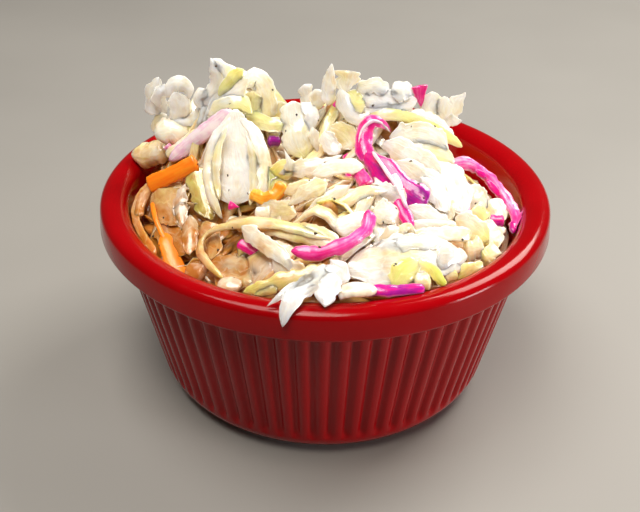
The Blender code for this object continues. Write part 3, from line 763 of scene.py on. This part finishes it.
def layFront(lay):
    # the pale loop and the branch that falls from it
    lay("ribbon", [(-17.2, -32, 39.8), (-20.5, -28, 40.6), (-22.3, -23, 40.6), (-20.5, -21, 42.2), (-16.5, -22.5, 44.8), (-12.5, -24.6, 46.6), (-8.5, -26, 47.2), (-4, -28, 47.2), (1.0, -30, 46.8)], width=2.6, taper=(0.45, 1.25), roll=-8, thick=0.9, tone=(0.5, 0.34), edgeTone=0.2, ends=(0.04, 0.3))
    lay("flake", [(-14.2, -26.4, 46.8), (-10.4, -30, 46.0), (-7.0, -33, 45.0), (-5.4, -34.6, 43.0)], width=2.8, thick=0.9, facing=toCamera, tone=(0.12, 0.22), crease=0.15, ends=(0.15, 0.3))
    lay("ribbon", [(-15.5, -20.5, 43.8), (-9.5, -24.3, 45.8), (-4, -28, 47.0), (2.5, -30, 46.0)], width=3.8, curl=0.7, tone=(0.42, 0.3))
    lay("flake", [(-8.6, -32.4, 44.2), (-6.0, -33.8, 43.2), (-2.6, -34.6, 42.2)], width=3.6, tone=(0.28, 0.34), facing=toCamera)
    lay("stem", [(-17.8, -33, 39.0), (-16, -33.5, 39.8), (-13.9, -34, 39.4)], width=2.7, thick=1.4, tone=(0.0, 0.04))
    lay("ribbon", [(-13.4, -37, 40.0), (-10.9, -37.2, 41.4), (-8.2, -36.8, 42.4), (-4, -36.3, 43.2), (1.8, -35.3, 44.0)], width=2.8, ends=(0.3, 0.1), jitter=0.3, frill=0.25, tone=(0.7, 0.42), facing=toCamera)
    lay("ribbon", [(-12, -38.4, 39.8), (-10, -37.6, 41.0), (-7.5, -37.2, 41.8)], width=1.9, ends=(0.6, 0.1), point=0.9, tone=(0.66, 0.55), facing=toCamera)
    # the forked leaf that hangs over the lip
    lay("flake", [(2.4, -36.0, 44.8), (-1.2, -38.6, 44.4), (-4.4, -41.6, 43.6), (-5.8, -43.8, 41.8), (-6.4, -45.0, 39.6)], width=3.4, ends=(0.15, 0.3), point=0.75, curl=0.6, frill=0.12, tone=(0.05, 0.0), facing=toCamera, wet=0.2)
    lay("flake", [(0.4, -37.0, 44.8), (-3.4, -39.8, 44.4), (-6.6, -41.6, 43.4), (-9.0, -42.6, 41.8)], width=1.9, ends=(0.15, 0.5), point=0.8, curl=0.5, tone=(0.2, 0.04), facing=toCamera, wet=0.2)
    lay("flake", [(1.8, -37.4, 44.8), (0.6, -40.4, 43.8), (0.2, -42.8, 42.0)], width=3.8, ends=(0.2, 0.35), point=0.7, frill=0.2, crease=0.2, tone=(0.02, 0.05), facing=toCamera, wet=0.2)
    lay("flake", [(0.4, -38.2, 42.4), (1.8, -37.6, 44.4), (3.6, -36.0, 46.0)], width=4.2, frill=0.3, tone=(-0.05, 0.0), facing=toCamera, wet=0.1)
    lay("stem", [(2.2, -38.6, 42.2), (5.2, -39, 43.0), (8.6, -39, 42.6)], width=3.4, thick=2.0, square=0.6, ends=(0.1, 0.35), tone=(0.0, 0.04))
    lay("red", [(7, -37.8, 41.8), (11.5, -37.8, 42.0), (16.6, -36.6, 41.6)], width=2.0, ends=(0.03, 0.05), facing=(0, -0.6, 0.8), tone=(0.66, 0.76))
    # the broad half-clear leaf that rises to a green fold over a tan ball of core
    lay("flake", [(3.4, -34.6, 43.4), (9.0, -33.2, 44.0), (15, -30.9, 43.8), (20, -28.6, 42.9), (24.6, -26, 41.4)], width=7.4, curl=0.7, ends=(0.2, 0.15), jitter=0.14, frill=0.1, crease=0.3, folds=2.0, tone=(0.12, 0.16), crumple=0.8)
    lay("flake", [(8, -30.2, 45.4), (13, -29.2, 45.8), (17.6, -27.6, 45.2), (21, -26.2, 44.4)], width=3.2, frill=0.35, tone=(0.02, 0.08), ends=(0.35, 0.3))
    lay("flake", [(19, -30.0, 42.6), (22.4, -28.6, 42.2), (25, -26.4, 41.4)], width=4.6, tone=(0.16, 0.12), ends=(0.2, 0.4), facing=toCamera)
    lay("flake", [(11.6, -36.4, 41.6), (13.4, -34.8, 43.8), (16.0, -33.6, 44.6)], width=4.0, curl=0.8, tone=(0.85, 0.6), facing=toCamera, ends=(0.2, 0.2), crease=0.12, wet=0.2)
    lay("ribbon", [(15.4, -33.6, 44.5), (17.9, -33.7, 43.5), (20.2, -35, 41.0)], width=2.4, curl=0.4, taper=(1.0, 0.6), tone=(0.5, 0.95), facing=toCamera, wet=0.2)
    lay("stem", [(15.0, -35.0, 41.6), (17.8, -35.0, 41.8)], width=3.2, thick=2.6, square=0.5, ends=(0.2, 0.2), tone=(0.35, 0.45), facing=toCamera, jitter=0.3, crumple=0.4)
    # the pink horseshoe
    lay("red", [(-5.4, -33.6, 46.6), (-2.0, -34, 46.4), (1.4, -33.8, 47.2), (4.4, -32.6, 48.0), (6.6, -30.6, 48.8), (7.3, -28.6, 49.8), (7.3, -27.2, 50.8)], width=2.4, thick=1.5, facing=toCamera, curl=0.5, tone=(0.5, 0.38), ends=(0.12, 0.08), jitter=0.26)
    lay("red", [(-15, -26.6, 43.6), (-12.6, -28, 43.0), (-10, -30, 41.8)], width=1.8, tone=(0.6, 0.55), facing=toCamera)


def layFan(lay):
    # pale pointed shreds fanned from the middle towards the right
    lay("flake", [(-6.6, -20, 47.4), (-3.2, -19.6, 50.0), (0.4, -18.4, 51.2)], width=3.2, thick=0.8, ends=(0.45, 0.2), point=0.8, facing=toCamera, tone=(0.1, 0.2), edgeTone=0.2, crease=0.15)
    lay("flake", [(-3.6, -21.4, 46.2), (0.2, -20, 48.4), (4.3, -18, 50.6)], width=3.0, thick=0.8, ends=(0.4, 0.25), facing=toCamera, tone=(0.02, 0.1), crease=0.15)
    lay("ribbon", [(-2.0, -24, 46.4), (3.0, -21.6, 48.8), (7.0, -19.6, 50.2), (10.9, -18, 49.6)], width=2.4, ends=(0.3, 0.3), facing=toCamera, tone=(0.5, 0.15), edgeTone=0.2)
    lay("ribbon", [(-0.8, -25.5, 45.8), (4, -23.5, 47.2), (8.8, -21, 47.8)], width=2.2, ends=(0.5, 0.2), facing=toCamera, tone=(0.55, 0.3), edgeTone=0.2)
    lay("ribbon", [(-7.4, -16, 47.6), (-3.5, -17, 49.8), (0.8, -17, 51.0)], width=2.4, ends=(0.2, 0.5), point=0.8, facing=toCamera, tone=(0.45, 0.2))
    lay("flake", [(-8.6, -12, 49.4), (-4.4, -12.2, 51.0), (0.2, -12, 51.8), (3.0, -11, 53.0)], width=3.6, ends=(0.3, 0.6), point=0.8, facing=toCamera, tone=(0.2, 0.1), crease=0.2)
    lay("flake", [(-7.0, -12.4, 50.2), (-6.6, -12, 51.8), (-7.6, -11, 54.0)], width=1.9, ends=(0.1, 0.9), point=1, facing=toCamera, tone=(0.4, 0.05))
    lay("flake", [(-10.5, -10.5, 48.4), (-7.8, -11.4, 50.2), (-5.0, -12, 50.6)], width=3.2, tone=(0.7, 0.5), facing=toCamera, frill=0.3)
    lay("flake", [(-2.5, -14.6, 50.8), (2.4, -13.6, 51.8), (7, -12, 51.4)], width=3.0, facing=toCamera, tone=(0.2, 0.1))
    lay("stem", [(1.8, -26.6, 46.6), (5.2, -25.6, 47.4), (8.2, -24.6, 47.4)], width=3.4, thick=1.8, tone=(0.0, 0.06), facing=toCamera)
    lay("flake", [(8.4, -22.5, 48.2), (11, -22, 47.4), (13, -20.4, 46.8)], width=4.6, curl=0.5, tone=(0.22, 0.3), facing=toCamera)
    lay("flake", [(9, -17.6, 49.8), (12.5, -17.4, 48.6), (14.6, -17, 47.2)], width=3.6, tone=(0.05, 0.1), facing=toCamera)
    lay("carrot", [(-13.6, -13.6, 46.4), (-11.4, -15.6, 46.4), (-9.2, -16, 47.2), (-7.4, -14.8, 49.0)], width=2.5, thick=1.0, ruffle=0.3, curl=0.9, frill=0.2, tone=(0.7, 0.5), facing=toCamera)
    lay("stem", [(-12.6, -17.8, 44.4), (-9.6, -18.2, 44.8)], width=2.6, thick=1.8, tone=(0.05, 0.15), facing=toCamera)
    lay("flake", [(-12.5, -15.5, 44.8), (-9, -18.6, 45.6), (-5, -21.4, 46.4)], width=4.4, tone=(0.25, 0.35), facing=toCamera)
    lay("flake", [(-18, -17.5, 42.4), (-13, -19, 43.6), (-8, -21, 44.8)], width=4.2, tone=(0.25, 0.35))


def layRedCabbage(lay):
    lay("redFlake", [(12.4, -0.6, 53.0), (10.5, -1.6, 55.0), (8.6, -2.2, 55.7), (7.3, -3.4, 54.4), (7.1, -6.2, 52.3), (8.0, -8.6, 50.4)], width=3.8, taper=(0.5, 1.1), thick=1.0, facing=toCamera, curl=0.9, tone=(0.44, 0.64), ends=(0.4, 0.15))
    lay("red", [(12.2, -1.2, 53.1), (10.4, -2.0, 55.3), (8.5, -2.7, 56.0), (6.6, -3.8, 54.4), (5.9, -6.4, 51.9)], width=0.7, thick=0.7, facing=toCamera, tone=(0.0, 0.2), ends=(0.3, 0.5))
    lay("redFlake", [(5.0, -4.6, 50.4), (5.4, -7.2, 48.6), (6.2, -9.6, 47.6)], width=4.2, thick=0.9, facing=toCamera, tone=(0.5, 0.6), crease=0.3)
    lay("red", [(5.6, -12, 50.4), (6.6, -14.4, 50.4), (7.4, -17.4, 50.6)], width=2.8, thick=1.2, facing=toCamera, curl=0.9, tone=(0.56, 0.5))
    lay("redFlake", [(7.2, -8.2, 51.8), (10.2, -11.8, 50.6), (13.6, -15, 48.8), (18.2, -17.6, 46.7)], width=5.4, facing=toCamera, curl=0.8, ends=(0.3, 0.08), tone=(0.62, 0.82), thick=0.8)
    lay("red", [(8.6, -9.6, 53.0), (11, -14, 51.2), (13.2, -17.4, 49.2), (14.6, -20.4, 47.2)], width=0.7, thick=0.7, facing=toCamera, tone=(0.02, 0.1))
    lay("red", [(12.0, -14.4, 51.0), (12.9, -15.4, 50.0), (13.2, -17.0, 49.2)], width=1.5, thick=0.5, facing=toCamera, tone=(0.12, 0.2))
    lay("red", [(12.9, -18.4, 48.2), (14, -20.8, 46.7), (15.4, -23.8, 45)], width=2.5, facing=toCamera, tone=(0.66, 0.55), ends=(0.1, 0.4))
    # the lilac arc along the right wall
    lay("red", [(22.8, -0.8, 44.8), (25.2, 0.6, 45.6), (28.4, 1.6, 45.2), (31.2, 1.4, 43.9), (33.8, 0.2, 41.8), (36, -2.6, 39.6), (37.2, -6.6, 38.2), (36.6, -10.6, 37.2)], width=2.5, thick=1.4, facing=toCamera, curl=0.5, tone=(0.3, 0.4), jitter=0.25)
    lay("red", [(29.6, 0.4, 44.6), (31.8, 0.2, 43.0)], width=1.5, thick=0.8, facing=toCamera, tone=(0.62, 0.66), ends=(0.4, 0.4))
    lay("red", [(32.0, -0.4, 42.8), (34.4, -2.6, 40.4)], width=1.6, thick=0.8, facing=toCamera, tone=(0.6, 0.64), ends=(0.4, 0.4))
    lay("red", [(36.2, -9, 38.4), (36, -11.6, 37.4)], width=1.5, thick=1.0, facing=toCamera, tone=(0.66, 0.7), ends=(0.4, 0.4))
    lay("stem", [(31.6, -13.2, 40.0), (33.0, -15, 38.6)], width=3.6, thick=2.2, facing=toCamera, tone=(0.05, 0.12), jitter=0.3, crumple=0.4)
    lay("red", [(30.8, -13.4, 41.2), (33.4, -13.8, 41.2)], width=2.6, thick=1.6, facing=toCamera, tone=(0.72, 0.6), jitter=0.25)
    lay("red", [(31.4, -15.6, 39.6), (33.0, -15.8, 39.4)], width=1.9, thick=0.8, facing=toCamera, tone=(0.62, 0.62), ends=(0.4, 0.4))
    lay("stem", [(34, -2, 37.8), (36, -4.8, 36.8)], width=2.9, thick=2.2, facing=toCamera, tone=(0.02, 0.08))
    lay("red", [(26.2, -7, 45.6), (25.6, -10.4, 44.2), (26.2, -13.0, 43.4), (24.9, -16.4, 42.2)], width=1.8, thick=0.9, facing=toCamera, tone=(0.08, 0.16))
    lay("red", [(23.0, -3.6, 45.0), (26.2, -3.6, 44.4)], width=2.2, thick=1.2, facing=toCamera, tone=(0.14, 0.18))
    lay("red", [(-11.4, -0.5, 50.4), (-8.8, 0, 50.2)], width=2.5, thick=1.8, facing=toCamera, tone=(0.95, 0.9), square=0.6, ends=(0.2, 0.2))
    lay("redFlake", [(17.4, 2.4, 61.2), (18.2, 2.4, 56.6)], width=3.6, thick=0.7, ends=(0.02, 0.95), point=1, facing=toCamera, tone=(0.42, 0.6))


def layRightSide(lay):
    lay("flake", [(12, -2.4, 52.6), (18.0, -2.6, 53.2), (23.4, -3, 50.6)], width=5.5, thick=0.7, facing=toCamera, curl=0.8, tone=(0.12, 0.22), crease=0.3)
    lay("flake", [(12.6, -4.4, 50.4), (19, -4.4, 50.6), (24.6, -4.6, 48.8)], width=5.0, thick=0.7, facing=toCamera, curl=0.8, tone=(0.3, 0.36), crease=0.3)
    lay("flake", [(10.6, -5.0, 52.6), (14, -6.4, 51.8), (18, -7.2, 50.2), (21.6, -8.6, 48.4)], width=4.6, thick=0.7, curl=0.8, tone=(0.0, 0.05), facing=toCamera, crease=0.4)
    lay("flake", [(12.6, -8.2, 50.2), (16, -9.6, 48.8), (19.6, -10.8, 47.0), (22.4, -12.4, 45.2)], width=5.0, thick=0.7, curl=0.8, tone=(0.02, 0.1), facing=toCamera, crease=0.5)
    lay("flake", [(19, -5.5, 49.4), (22.2, -8.0, 47.8), (24.6, -11, 45.6), (25.6, -15, 43.4)], width=5.0, thick=0.7, curl=0.9, tone=(0.04, 0.1), facing=toCamera, crease=0.4)
    lay("flake", [(17.6, -9.8, 48.2), (20.4, -12.6, 46.4), (22.4, -16, 44.2)], width=4.2, thick=0.7, curl=0.9, tone=(0.1, 0.04), facing=toCamera, ends=(0.3, 0.3))
    lay("flake", [(17.4, -11.8, 45.6), (20.4, -13.6, 44.6), (23.6, -16, 43)], width=5.0, curl=0.6, tone=(0.38, 0.45), facing=toCamera)
    lay("flake", [(14.6, -18, 46.4), (18.4, -19, 45.2), (22.6, -20.2, 43.6)], width=4.2, thick=0.8, tone=(0.0, 0.04), facing=toCamera, ends=(0.3, 0.3))
    lay("flake", [(23.4, -4, 48.2), (25, -7.6, 46.0), (26.6, -11.6, 43.4)], width=4.0, tone=(0.08, 0.2), facing=toCamera)
    lay("ribbon", [(14.6, -25, 44.4), (17.8, -24.6, 44.6), (21.4, -23.6, 44.2), (26, -21.6, 43.2)], width=2.8, tone=(0.15, 0.25), facing=toCamera, curl=0.5)
    lay("ribbon", [(15.4, -22.4, 45.4), (19, -21.6, 44.8), (23.5, -20.4, 44)], width=2.0, tone=(0.08, 0.16), facing=toCamera)
    lay("flake", [(12.6, -28, 42.6), (11.0, -27, 44.6), (11.5, -26.4, 46.4), (12.8, -26, 46.8)], width=2.5, thick=0.9, frill=0.2, tone=(0.2, 0.1), facing=toCamera)
    lay("flake", [(13.2, -26, 43.4), (13.4, -25.4, 45.6), (14.5, -25, 46.0), (15.2, -25, 43.8)], width=2.0, thick=0.9, frill=0.2, tone=(0.12, 0.3), facing=toCamera)
    lay("stem", [(25.0, -22.8, 40.4), (28.4, -22.0, 40.6)], width=4.6, thick=2.6, square=0.42, ends=(0.14, 0.2), tone=(0.18, 0.24), facing=toCamera, jitter=0.3, crumple=0.4)
    lay("stem", [(28.2, -24.2, 39.2), (31.2, -22.4, 39.9)], width=3.4, thick=2.2, square=0.42, ends=(0.14, 0.2), tone=(0.6, 0.25), facing=toCamera, jitter=0.3, crumple=0.4)
    lay("ribbon", [(22.4, -29.6, 40.0), (25.2, -28.4, 40.3), (27.8, -27.2, 39.8)], width=2.4, tone=(0.66, 0.55), facing=toCamera)
    lay("stem", [(20.6, -30.8, 40.0), (22.8, -30, 40.2)], width=2.0, thick=1.6, tone=(0.4, 0.5), facing=toCamera)
    lay("stem", [(27.2, -12.6, 43.0), (29.9, -14, 41.2)], width=3.8, thick=2.2, tone=(0.62, 0.7), facing=toCamera, square=0.6)
    lay("flake", [(26.6, -6.4, 43.6), (28.8, -7.6, 43.0), (31, -9, 41.4)], width=4.4, curl=0.6, tone=(0.0, 0.06), facing=toCamera)
    lay("flake", [(31, -8, 42.4), (32.6, -10, 41.2), (33.4, -12, 40)], width=3.8, curl=0.6, tone=(0.15, 0.3), facing=toCamera)
    lay("flake", [(28, -15.6, 41.6), (30.2, -17.6, 40.4), (31.6, -19.6, 39)], width=4.6, curl=0.6, tone=(0.2, 0.3), facing=toCamera)
    lay("flake", [(23.8, -16.5, 43.6), (27, -18.5, 42.4), (29.8, -20, 41)], width=4.4, curl=0.6, tone=(0.3, 0.45), facing=toCamera)


def layRightPeak(lay):
    lay("flake", [(-6.6, 3, 57.4), (-6.3, 1, 54.2), (-5.5, -1, 51.8), (-3.9, -3, 48.2)], width=5.6, thick=0.7, facing=toCamera, curl=0.8, crease=0.2, ends=(0.12, 0.2), tone=(0.12, 0.4))
    lay("flake", [(-4.9, 3.0, 57.2), (-3.0, 1.5, 55.6), (-3.2, 0, 52.4)], width=2.6, thick=0.8, facing=toCamera, curl=0.8, tone=(0.0, 0.04), ends=(0.2, 0.3))
    lay("flake", [(-2.7, -1, 53.8), (-1.6, -2, 49.0)], width=2.5, thick=0.9, facing=toCamera, curl=0.8, tone=(0.0, 0.06), ends=(0.3, 0.7), point=0.8)
    lay("flake", [(0.4, 1, 57.6), (0.3, 1, 61.6), (0.8, 1, 65.8)], width=2.8, thick=1.0, ends=(0.15, 0.5), point=0.7, facing=toCamera, crease=0.1, frill=0.05, tone=(0.12, 0.0))
    lay("flake", [(3.7, 2, 59.8), (3.8, 2, 64.2)], width=3.6, thick=0.7, frill=0.5, jitter=0.3, ends=(0.2, 0.08), facing=toCamera, taper=(0.8, 1.25), tone=(0.2, 0.1))
    lay("flake", [(-3.3, 4, 56.4), (-4.5, 4, 60.4)], width=2.6, thick=0.7, frill=0.4, facing=toCamera, tone=(0.12, 0.05), ends=(0.2, 0.15))
    lay("flake", [(-1.3, 3, 55.8), (-2.2, 3, 60.0)], width=2.8, thick=0.7, frill=0.3, facing=toCamera, tone=(0.35, 0.12), ends=(0.2, 0.2))
    lay("flake", [(2.4, 0.6, 61.0), (3.4, 0, 57.8), (5.8, -0.5, 55.4), (8.2, -0.2, 56.4)], width=3.0, thick=0.8, facing=toCamera, curl=1.0, tone=(0.1, 0.2), ends=(0.2, 0.3))
    lay("flake", [(3.2, 1.6, 59.4), (5.2, 1.2, 58.2), (7.4, 1.4, 58.2)], width=4.0, thick=0.6, facing=toCamera, tone=(0.5, 0.56))
    lay("flake", [(0.6, -1.6, 54.2), (3.6, -2.2, 52.6), (5.4, -3.4, 50.6)], width=4.4, thick=0.7, facing=toCamera, curl=0.8, tone=(0.3, 0.4))
    lay("flake", [(-0.4, -2.2, 53.6), (1.0, -3.6, 51.6), (2.4, -5, 50)], width=3.2, thick=0.7, facing=toCamera, curl=0.8, tone=(0.12, 0.2))
    lay("flake", [(5.6, 2.5, 60.0), (8.4, 2.5, 61.0), (11.8, 2.5, 60.2)], width=2.9, thick=0.7, facing=toCamera, frill=0.3, tone=(0.1, 0.16), ends=(0.15, 0.15))
    lay("flake", [(6.6, 1.6, 58.4), (10.8, 1.6, 58.5), (14, 1.6, 58.2), (17.2, 1.6, 58.6)], width=4.2, thick=0.7, facing=toCamera, frill=0.2, crease=0.25, tone=(0.06, 0.1), ends=(0.15, 0.2))
    lay("flake", [(12.2, 2.2, 59.4), (14.4, 2.2, 60.2), (16.2, 2.2, 59.6)], width=3.4, thick=0.7, facing=toCamera, frill=0.3, tone=(0.08, 0.14), ends=(0.2, 0.2))
    lay("flake", [(7.0, 0.8, 56.8), (11, 0.6, 56.8), (15.4, 0.6, 56.6)], width=2.8, thick=0.7, facing=toCamera, tone=(0.12, 0.3))
    lay("flake", [(20.2, 2.5, 54.8), (20.2, 2.5, 59.9)], width=5.2, thick=0.9, facing=toCamera, curl=1.2, crease=0.15, ends=(0.2, 0.4), tone=(0.25, 0.12))
    lay("flake", [(22.8, 2.4, 54.2), (22.4, 2.4, 59.2)], width=3.6, thick=0.8, facing=toCamera, curl=1.0, frill=0.3, ends=(0.2, 0.4), tone=(0.04, 0.04))
    lay("flake", [(23.8, 4, 53.8), (25.2, 4, 56.6), (26.6, 4, 59.4)], width=2.8, thick=0.7, frill=0.5, jitter=0.3, ends=(0.2, 0.45), facing=toCamera, tone=(0.02, 0.0))
    lay("flake", [(21.4, 3, 53.4), (24, 3, 53.8), (26.4, 3, 53.8)], width=2.8, thick=0.7, frill=0.4, ends=(0.2, 0.5), point=0.8, facing=toCamera, tone=(0.02, 0.0))
    lay("ribbon", [(7.6, 0.2, 55.8), (12.6, 0.0, 56.2), (17.2, -0.2, 55.2), (22, -0.6, 53.0), (26.2, -1.0, 50.2)], width=2.4, facing=toCamera, tone=(0.5, 0.62), edgeTone=0.1, curl=0.6, thick=0.8, ends=(0.2, 0.2))
    lay("ribbon", [(16, 1.0, 56.4), (20, 0.8, 55.0), (24.6, 0.6, 51.8)], width=2.6, facing=toCamera, jitter=0.3, ends=(0.2, 0.3), tone=(0.04, 0.08), frill=0.2)


# ---- the shreds that fill the heap

filler = {
    "seed": 11,
    "ribbons": 460,
    "flakes": 170,
    "stems": 80,
    "reds": 30,
    "carrots": 20,
    "depth": (1.4, 4.6),  # mm below the heap's outside
    "backDepth": (0.2, 4.0),
}


def wanderPath(draw, length, bend, arch, steps=5, sink=0.0):
    # a short walk over the heap, dipping into it at both ends
    radius = 35.5 * math.sqrt(draw.random())
    place = draw.uniform(0, math.tau)
    x, y = radius * math.cos(place), radius * math.sin(place)
    depth = draw.uniform(*filler["backDepth" if y > 9 else "depth"]) + (0 if y > 9 else sink)
    heading = draw.gauss(0.35, 0.9) if draw.random() < 0.65 else draw.uniform(0, math.pi)
    points = []
    x -= math.cos(heading) * length / 2
    y -= math.sin(heading) * length / 2
    for k in range(steps):
        limit = 36.0
        far = math.hypot(x, y)
        px, py = (x * limit / far, y * limit / far) if far > limit else (x, y)
        z = float(lookUp(heapSoft, px, py)) - depth + arch * math.sin(math.pi * k / (steps - 1))
        points.append((px, py, z))
        heading += bend / steps
        x += math.cos(heading) * length / (steps - 1)
        y += math.sin(heading) * length / (steps - 1)
    return points


def paleTone(draw):
    base = draw.choice([0.05, 0.1, 0.15, 0.22, 0.3, 0.4, 0.55])
    return (base, min(1.0, base + draw.uniform(-0.1, 0.2)))


def layFiller(lay):
    draw = random.Random(filler["seed"])
    for k in range(filler["ribbons"]):
        lay("ribbon", wanderPath(draw, draw.uniform(12, 30), draw.gauss(0, 0.7), draw.uniform(0, 2.0)), False,
            width=draw.uniform(1.3, 3.2), thick=draw.uniform(0.55, 0.9), ends=(draw.uniform(0.05, 0.3), draw.uniform(0.05, 0.3)),
            roll=draw.gauss(0, 25), twist=draw.gauss(0, 35), curl=draw.uniform(-0.6, 0.9), ruffle=draw.uniform(0, 0.25),
            tone=paleTone(draw), edgeTone=draw.uniform(0, 0.25))
    for k in range(filler["flakes"]):
        lay("flake", wanderPath(draw, draw.uniform(8, 16), draw.gauss(0, 0.5), draw.uniform(0, 1.2)), False,
            width=draw.uniform(4, 8), thick=draw.uniform(0.45, 0.7), ends=(draw.uniform(0.15, 0.4), draw.uniform(0.2, 0.5)),
            roll=draw.gauss(0, 18), twist=draw.gauss(0, 20), curl=draw.uniform(-0.8, 1.2), ruffle=draw.uniform(0.1, 0.5),
            jitter=0.18, tone=paleTone(draw), edgeTone=draw.uniform(0, 0.2))
    for k in range(filler["stems"]):
        lay("stem", wanderPath(draw, draw.uniform(5, 10), draw.gauss(0, 0.3), draw.uniform(0, 0.5), 3), False,
            width=draw.uniform(2.6, 4.2), thick=draw.uniform(1.4, 2.4), roll=draw.gauss(0, 40), curl=0.2, tone=(0.18, 0.3))
    for k in range(filler["reds"]):
        base = draw.uniform(0.2, 0.85)
        lay("red", wanderPath(draw, draw.uniform(7, 18), draw.gauss(0, 0.9), draw.uniform(0, 1.2), sink=1.2), False,
            width=draw.uniform(1.2, 2.6), thick=draw.uniform(0.7, 1.1), roll=draw.gauss(0, 35), twist=draw.gauss(0, 40),
            curl=draw.uniform(-0.4, 0.9), tone=(base, base + 0.15))
    for k in range(filler["carrots"]):
        lay("carrot", wanderPath(draw, draw.uniform(5, 13), draw.gauss(0, 0.4), draw.uniform(0, 0.8), sink=1.2), False,
            width=draw.uniform(1.2, 3.0), thick=draw.uniform(0.8, 1.3), roll=draw.gauss(0, 30))


# ---- every kind of shred is one joined piece

kinds = {
    # the piece it joins, the fine and the coarse blank, and its usual cut
    "ribbon": ("shredded_cabbage", fineBlank, coarseBlank, {"thick": 0.75, "crease": 0.12, "folds": 1.0, "jitter": 0.18, "square": 0.4, "crumple": 0.3}),
    "flake": ("cabbage_flakes", leafBlank, flakeBlank, {"thick": 0.6, "press": 0.72, "point": 0.7, "ends": (0.22, 0.22), "jitter": 0.22, "crease": 0.2, "folds": 1.6, "frill": 0.08, "square": 0.36, "crumple": 0.45}),
    "stem": ("cabbage_stems", fineBlank, coarseBlank, {"ends": (0.12, 0.12), "square": 0.42, "curl": 0.2, "jitter": 0.16, "crumple": 0.15}),
    "red": ("red_cabbage", fineBlank, coarseBlank, {"jitter": 0.14, "square": 0.4, "crease": 0.1, "folds": 1.0, "crumple": 0.3}),
    "paleRed": ("red_cabbage", fineBlank, coarseBlank, {"jitter": 0.14, "square": 0.4, "crumple": 0.4}),
    "redFlake": ("red_cabbage", leafBlank, flakeBlank, {"thick": 0.6, "jitter": 0.16, "crease": 0.2, "folds": 1.6, "square": 0.4, "crumple": 0.35}),
    "carrot": ("carrot_shreds", fineBlank, coarseBlank, {"tone": (0.0, 0.0), "square": 0.32, "curl": 0.1, "jitter": 0.07, "ends": (0.04, 0.04), "crumple": 0.2}),
}


wetness = {  # how much dressing tint and painted shade each part of the heap shows; the lit peaks get less
    layLeftPeak: 0.35, layLeftSide: 1.0, layFront: 0.75, layFan: 0.9, layRedCabbage: 1.0,
    layRightSide: 0.9, layRightPeak: 0.5, layFiller: 1.0,
}


pepper = {
    "seed": 5,
    "specks": 110,
    "size": (0.14, 0.36),  # half the length in mm
    "spread": 37,
}


def sprinklePepper(trees):
    # cracked pepper on whatever lies on top
    draw = random.Random(pepper["seed"])
    bm = bmesh.new()
    for speck in range(pepper["specks"]):
        far, turn = pepper["spread"] * math.sqrt(draw.random()), draw.uniform(0, math.tau)
        start = Vector((far * math.cos(turn), far * math.sin(turn), 90)) * mm
        hits = [tree.ray_cast(start, Vector((0, 0, -1))) for tree in trees]
        spot, normal = max((hit[:2] for hit in hits if hit[0]), key=lambda hit: hit[0].z)
        size = draw.uniform(*pepper["size"]) * mm
        turned = normal.to_track_quat("Z", "Y").to_matrix().to_4x4() @ Matrix.Rotation(draw.uniform(0, math.tau), 4, "Z")
        shape = Matrix.Diagonal((size, size * draw.uniform(0.4, 0.9), size * 0.6, 1))
        made = bmesh.ops.create_icosphere(bm, subdivisions=1, radius=1.0, matrix=Matrix.Translation(spot) @ turned @ shape)
        for vert in made["verts"]:
            vert.co += Vector([draw.uniform(-0.25, 0.25) * size for _ in range(3)])
    meshPiece("pepper_specks", bm, pepperMaterial(), "slaw")


def makeShreds():
    joined = {name: bmesh.new() for name in ("shredded_cabbage", "cabbage_flakes", "cabbage_stems", "red_cabbage", "carrot_shreds")}
    laid = [0]

    def lay(kind, path, fine=True, **own):
        piece, fineOne, coarseOne, cut = kinds[kind]
        laid[0] += 1
        layShred(joined[piece], fineOne if fine else coarseOne, path, laid[0] + 0.5, **{**cut, **own})

    for part, wet in wetness.items():
        part(partial(lay, wet=wet))
        print(part.__name__, laid[0], "shreds laid")
    sprinklePepper([BVHTree.FromBMesh(bm) for bm in joined.values()])
    stuffs = {"red_cabbage": redCabbage, "carrot_shreds": carrotFlesh}
    for name, bm in joined.items():
        meshPiece(name, bm, stuffs.get(name, whiteCabbage), "slaw")


makeShreds()
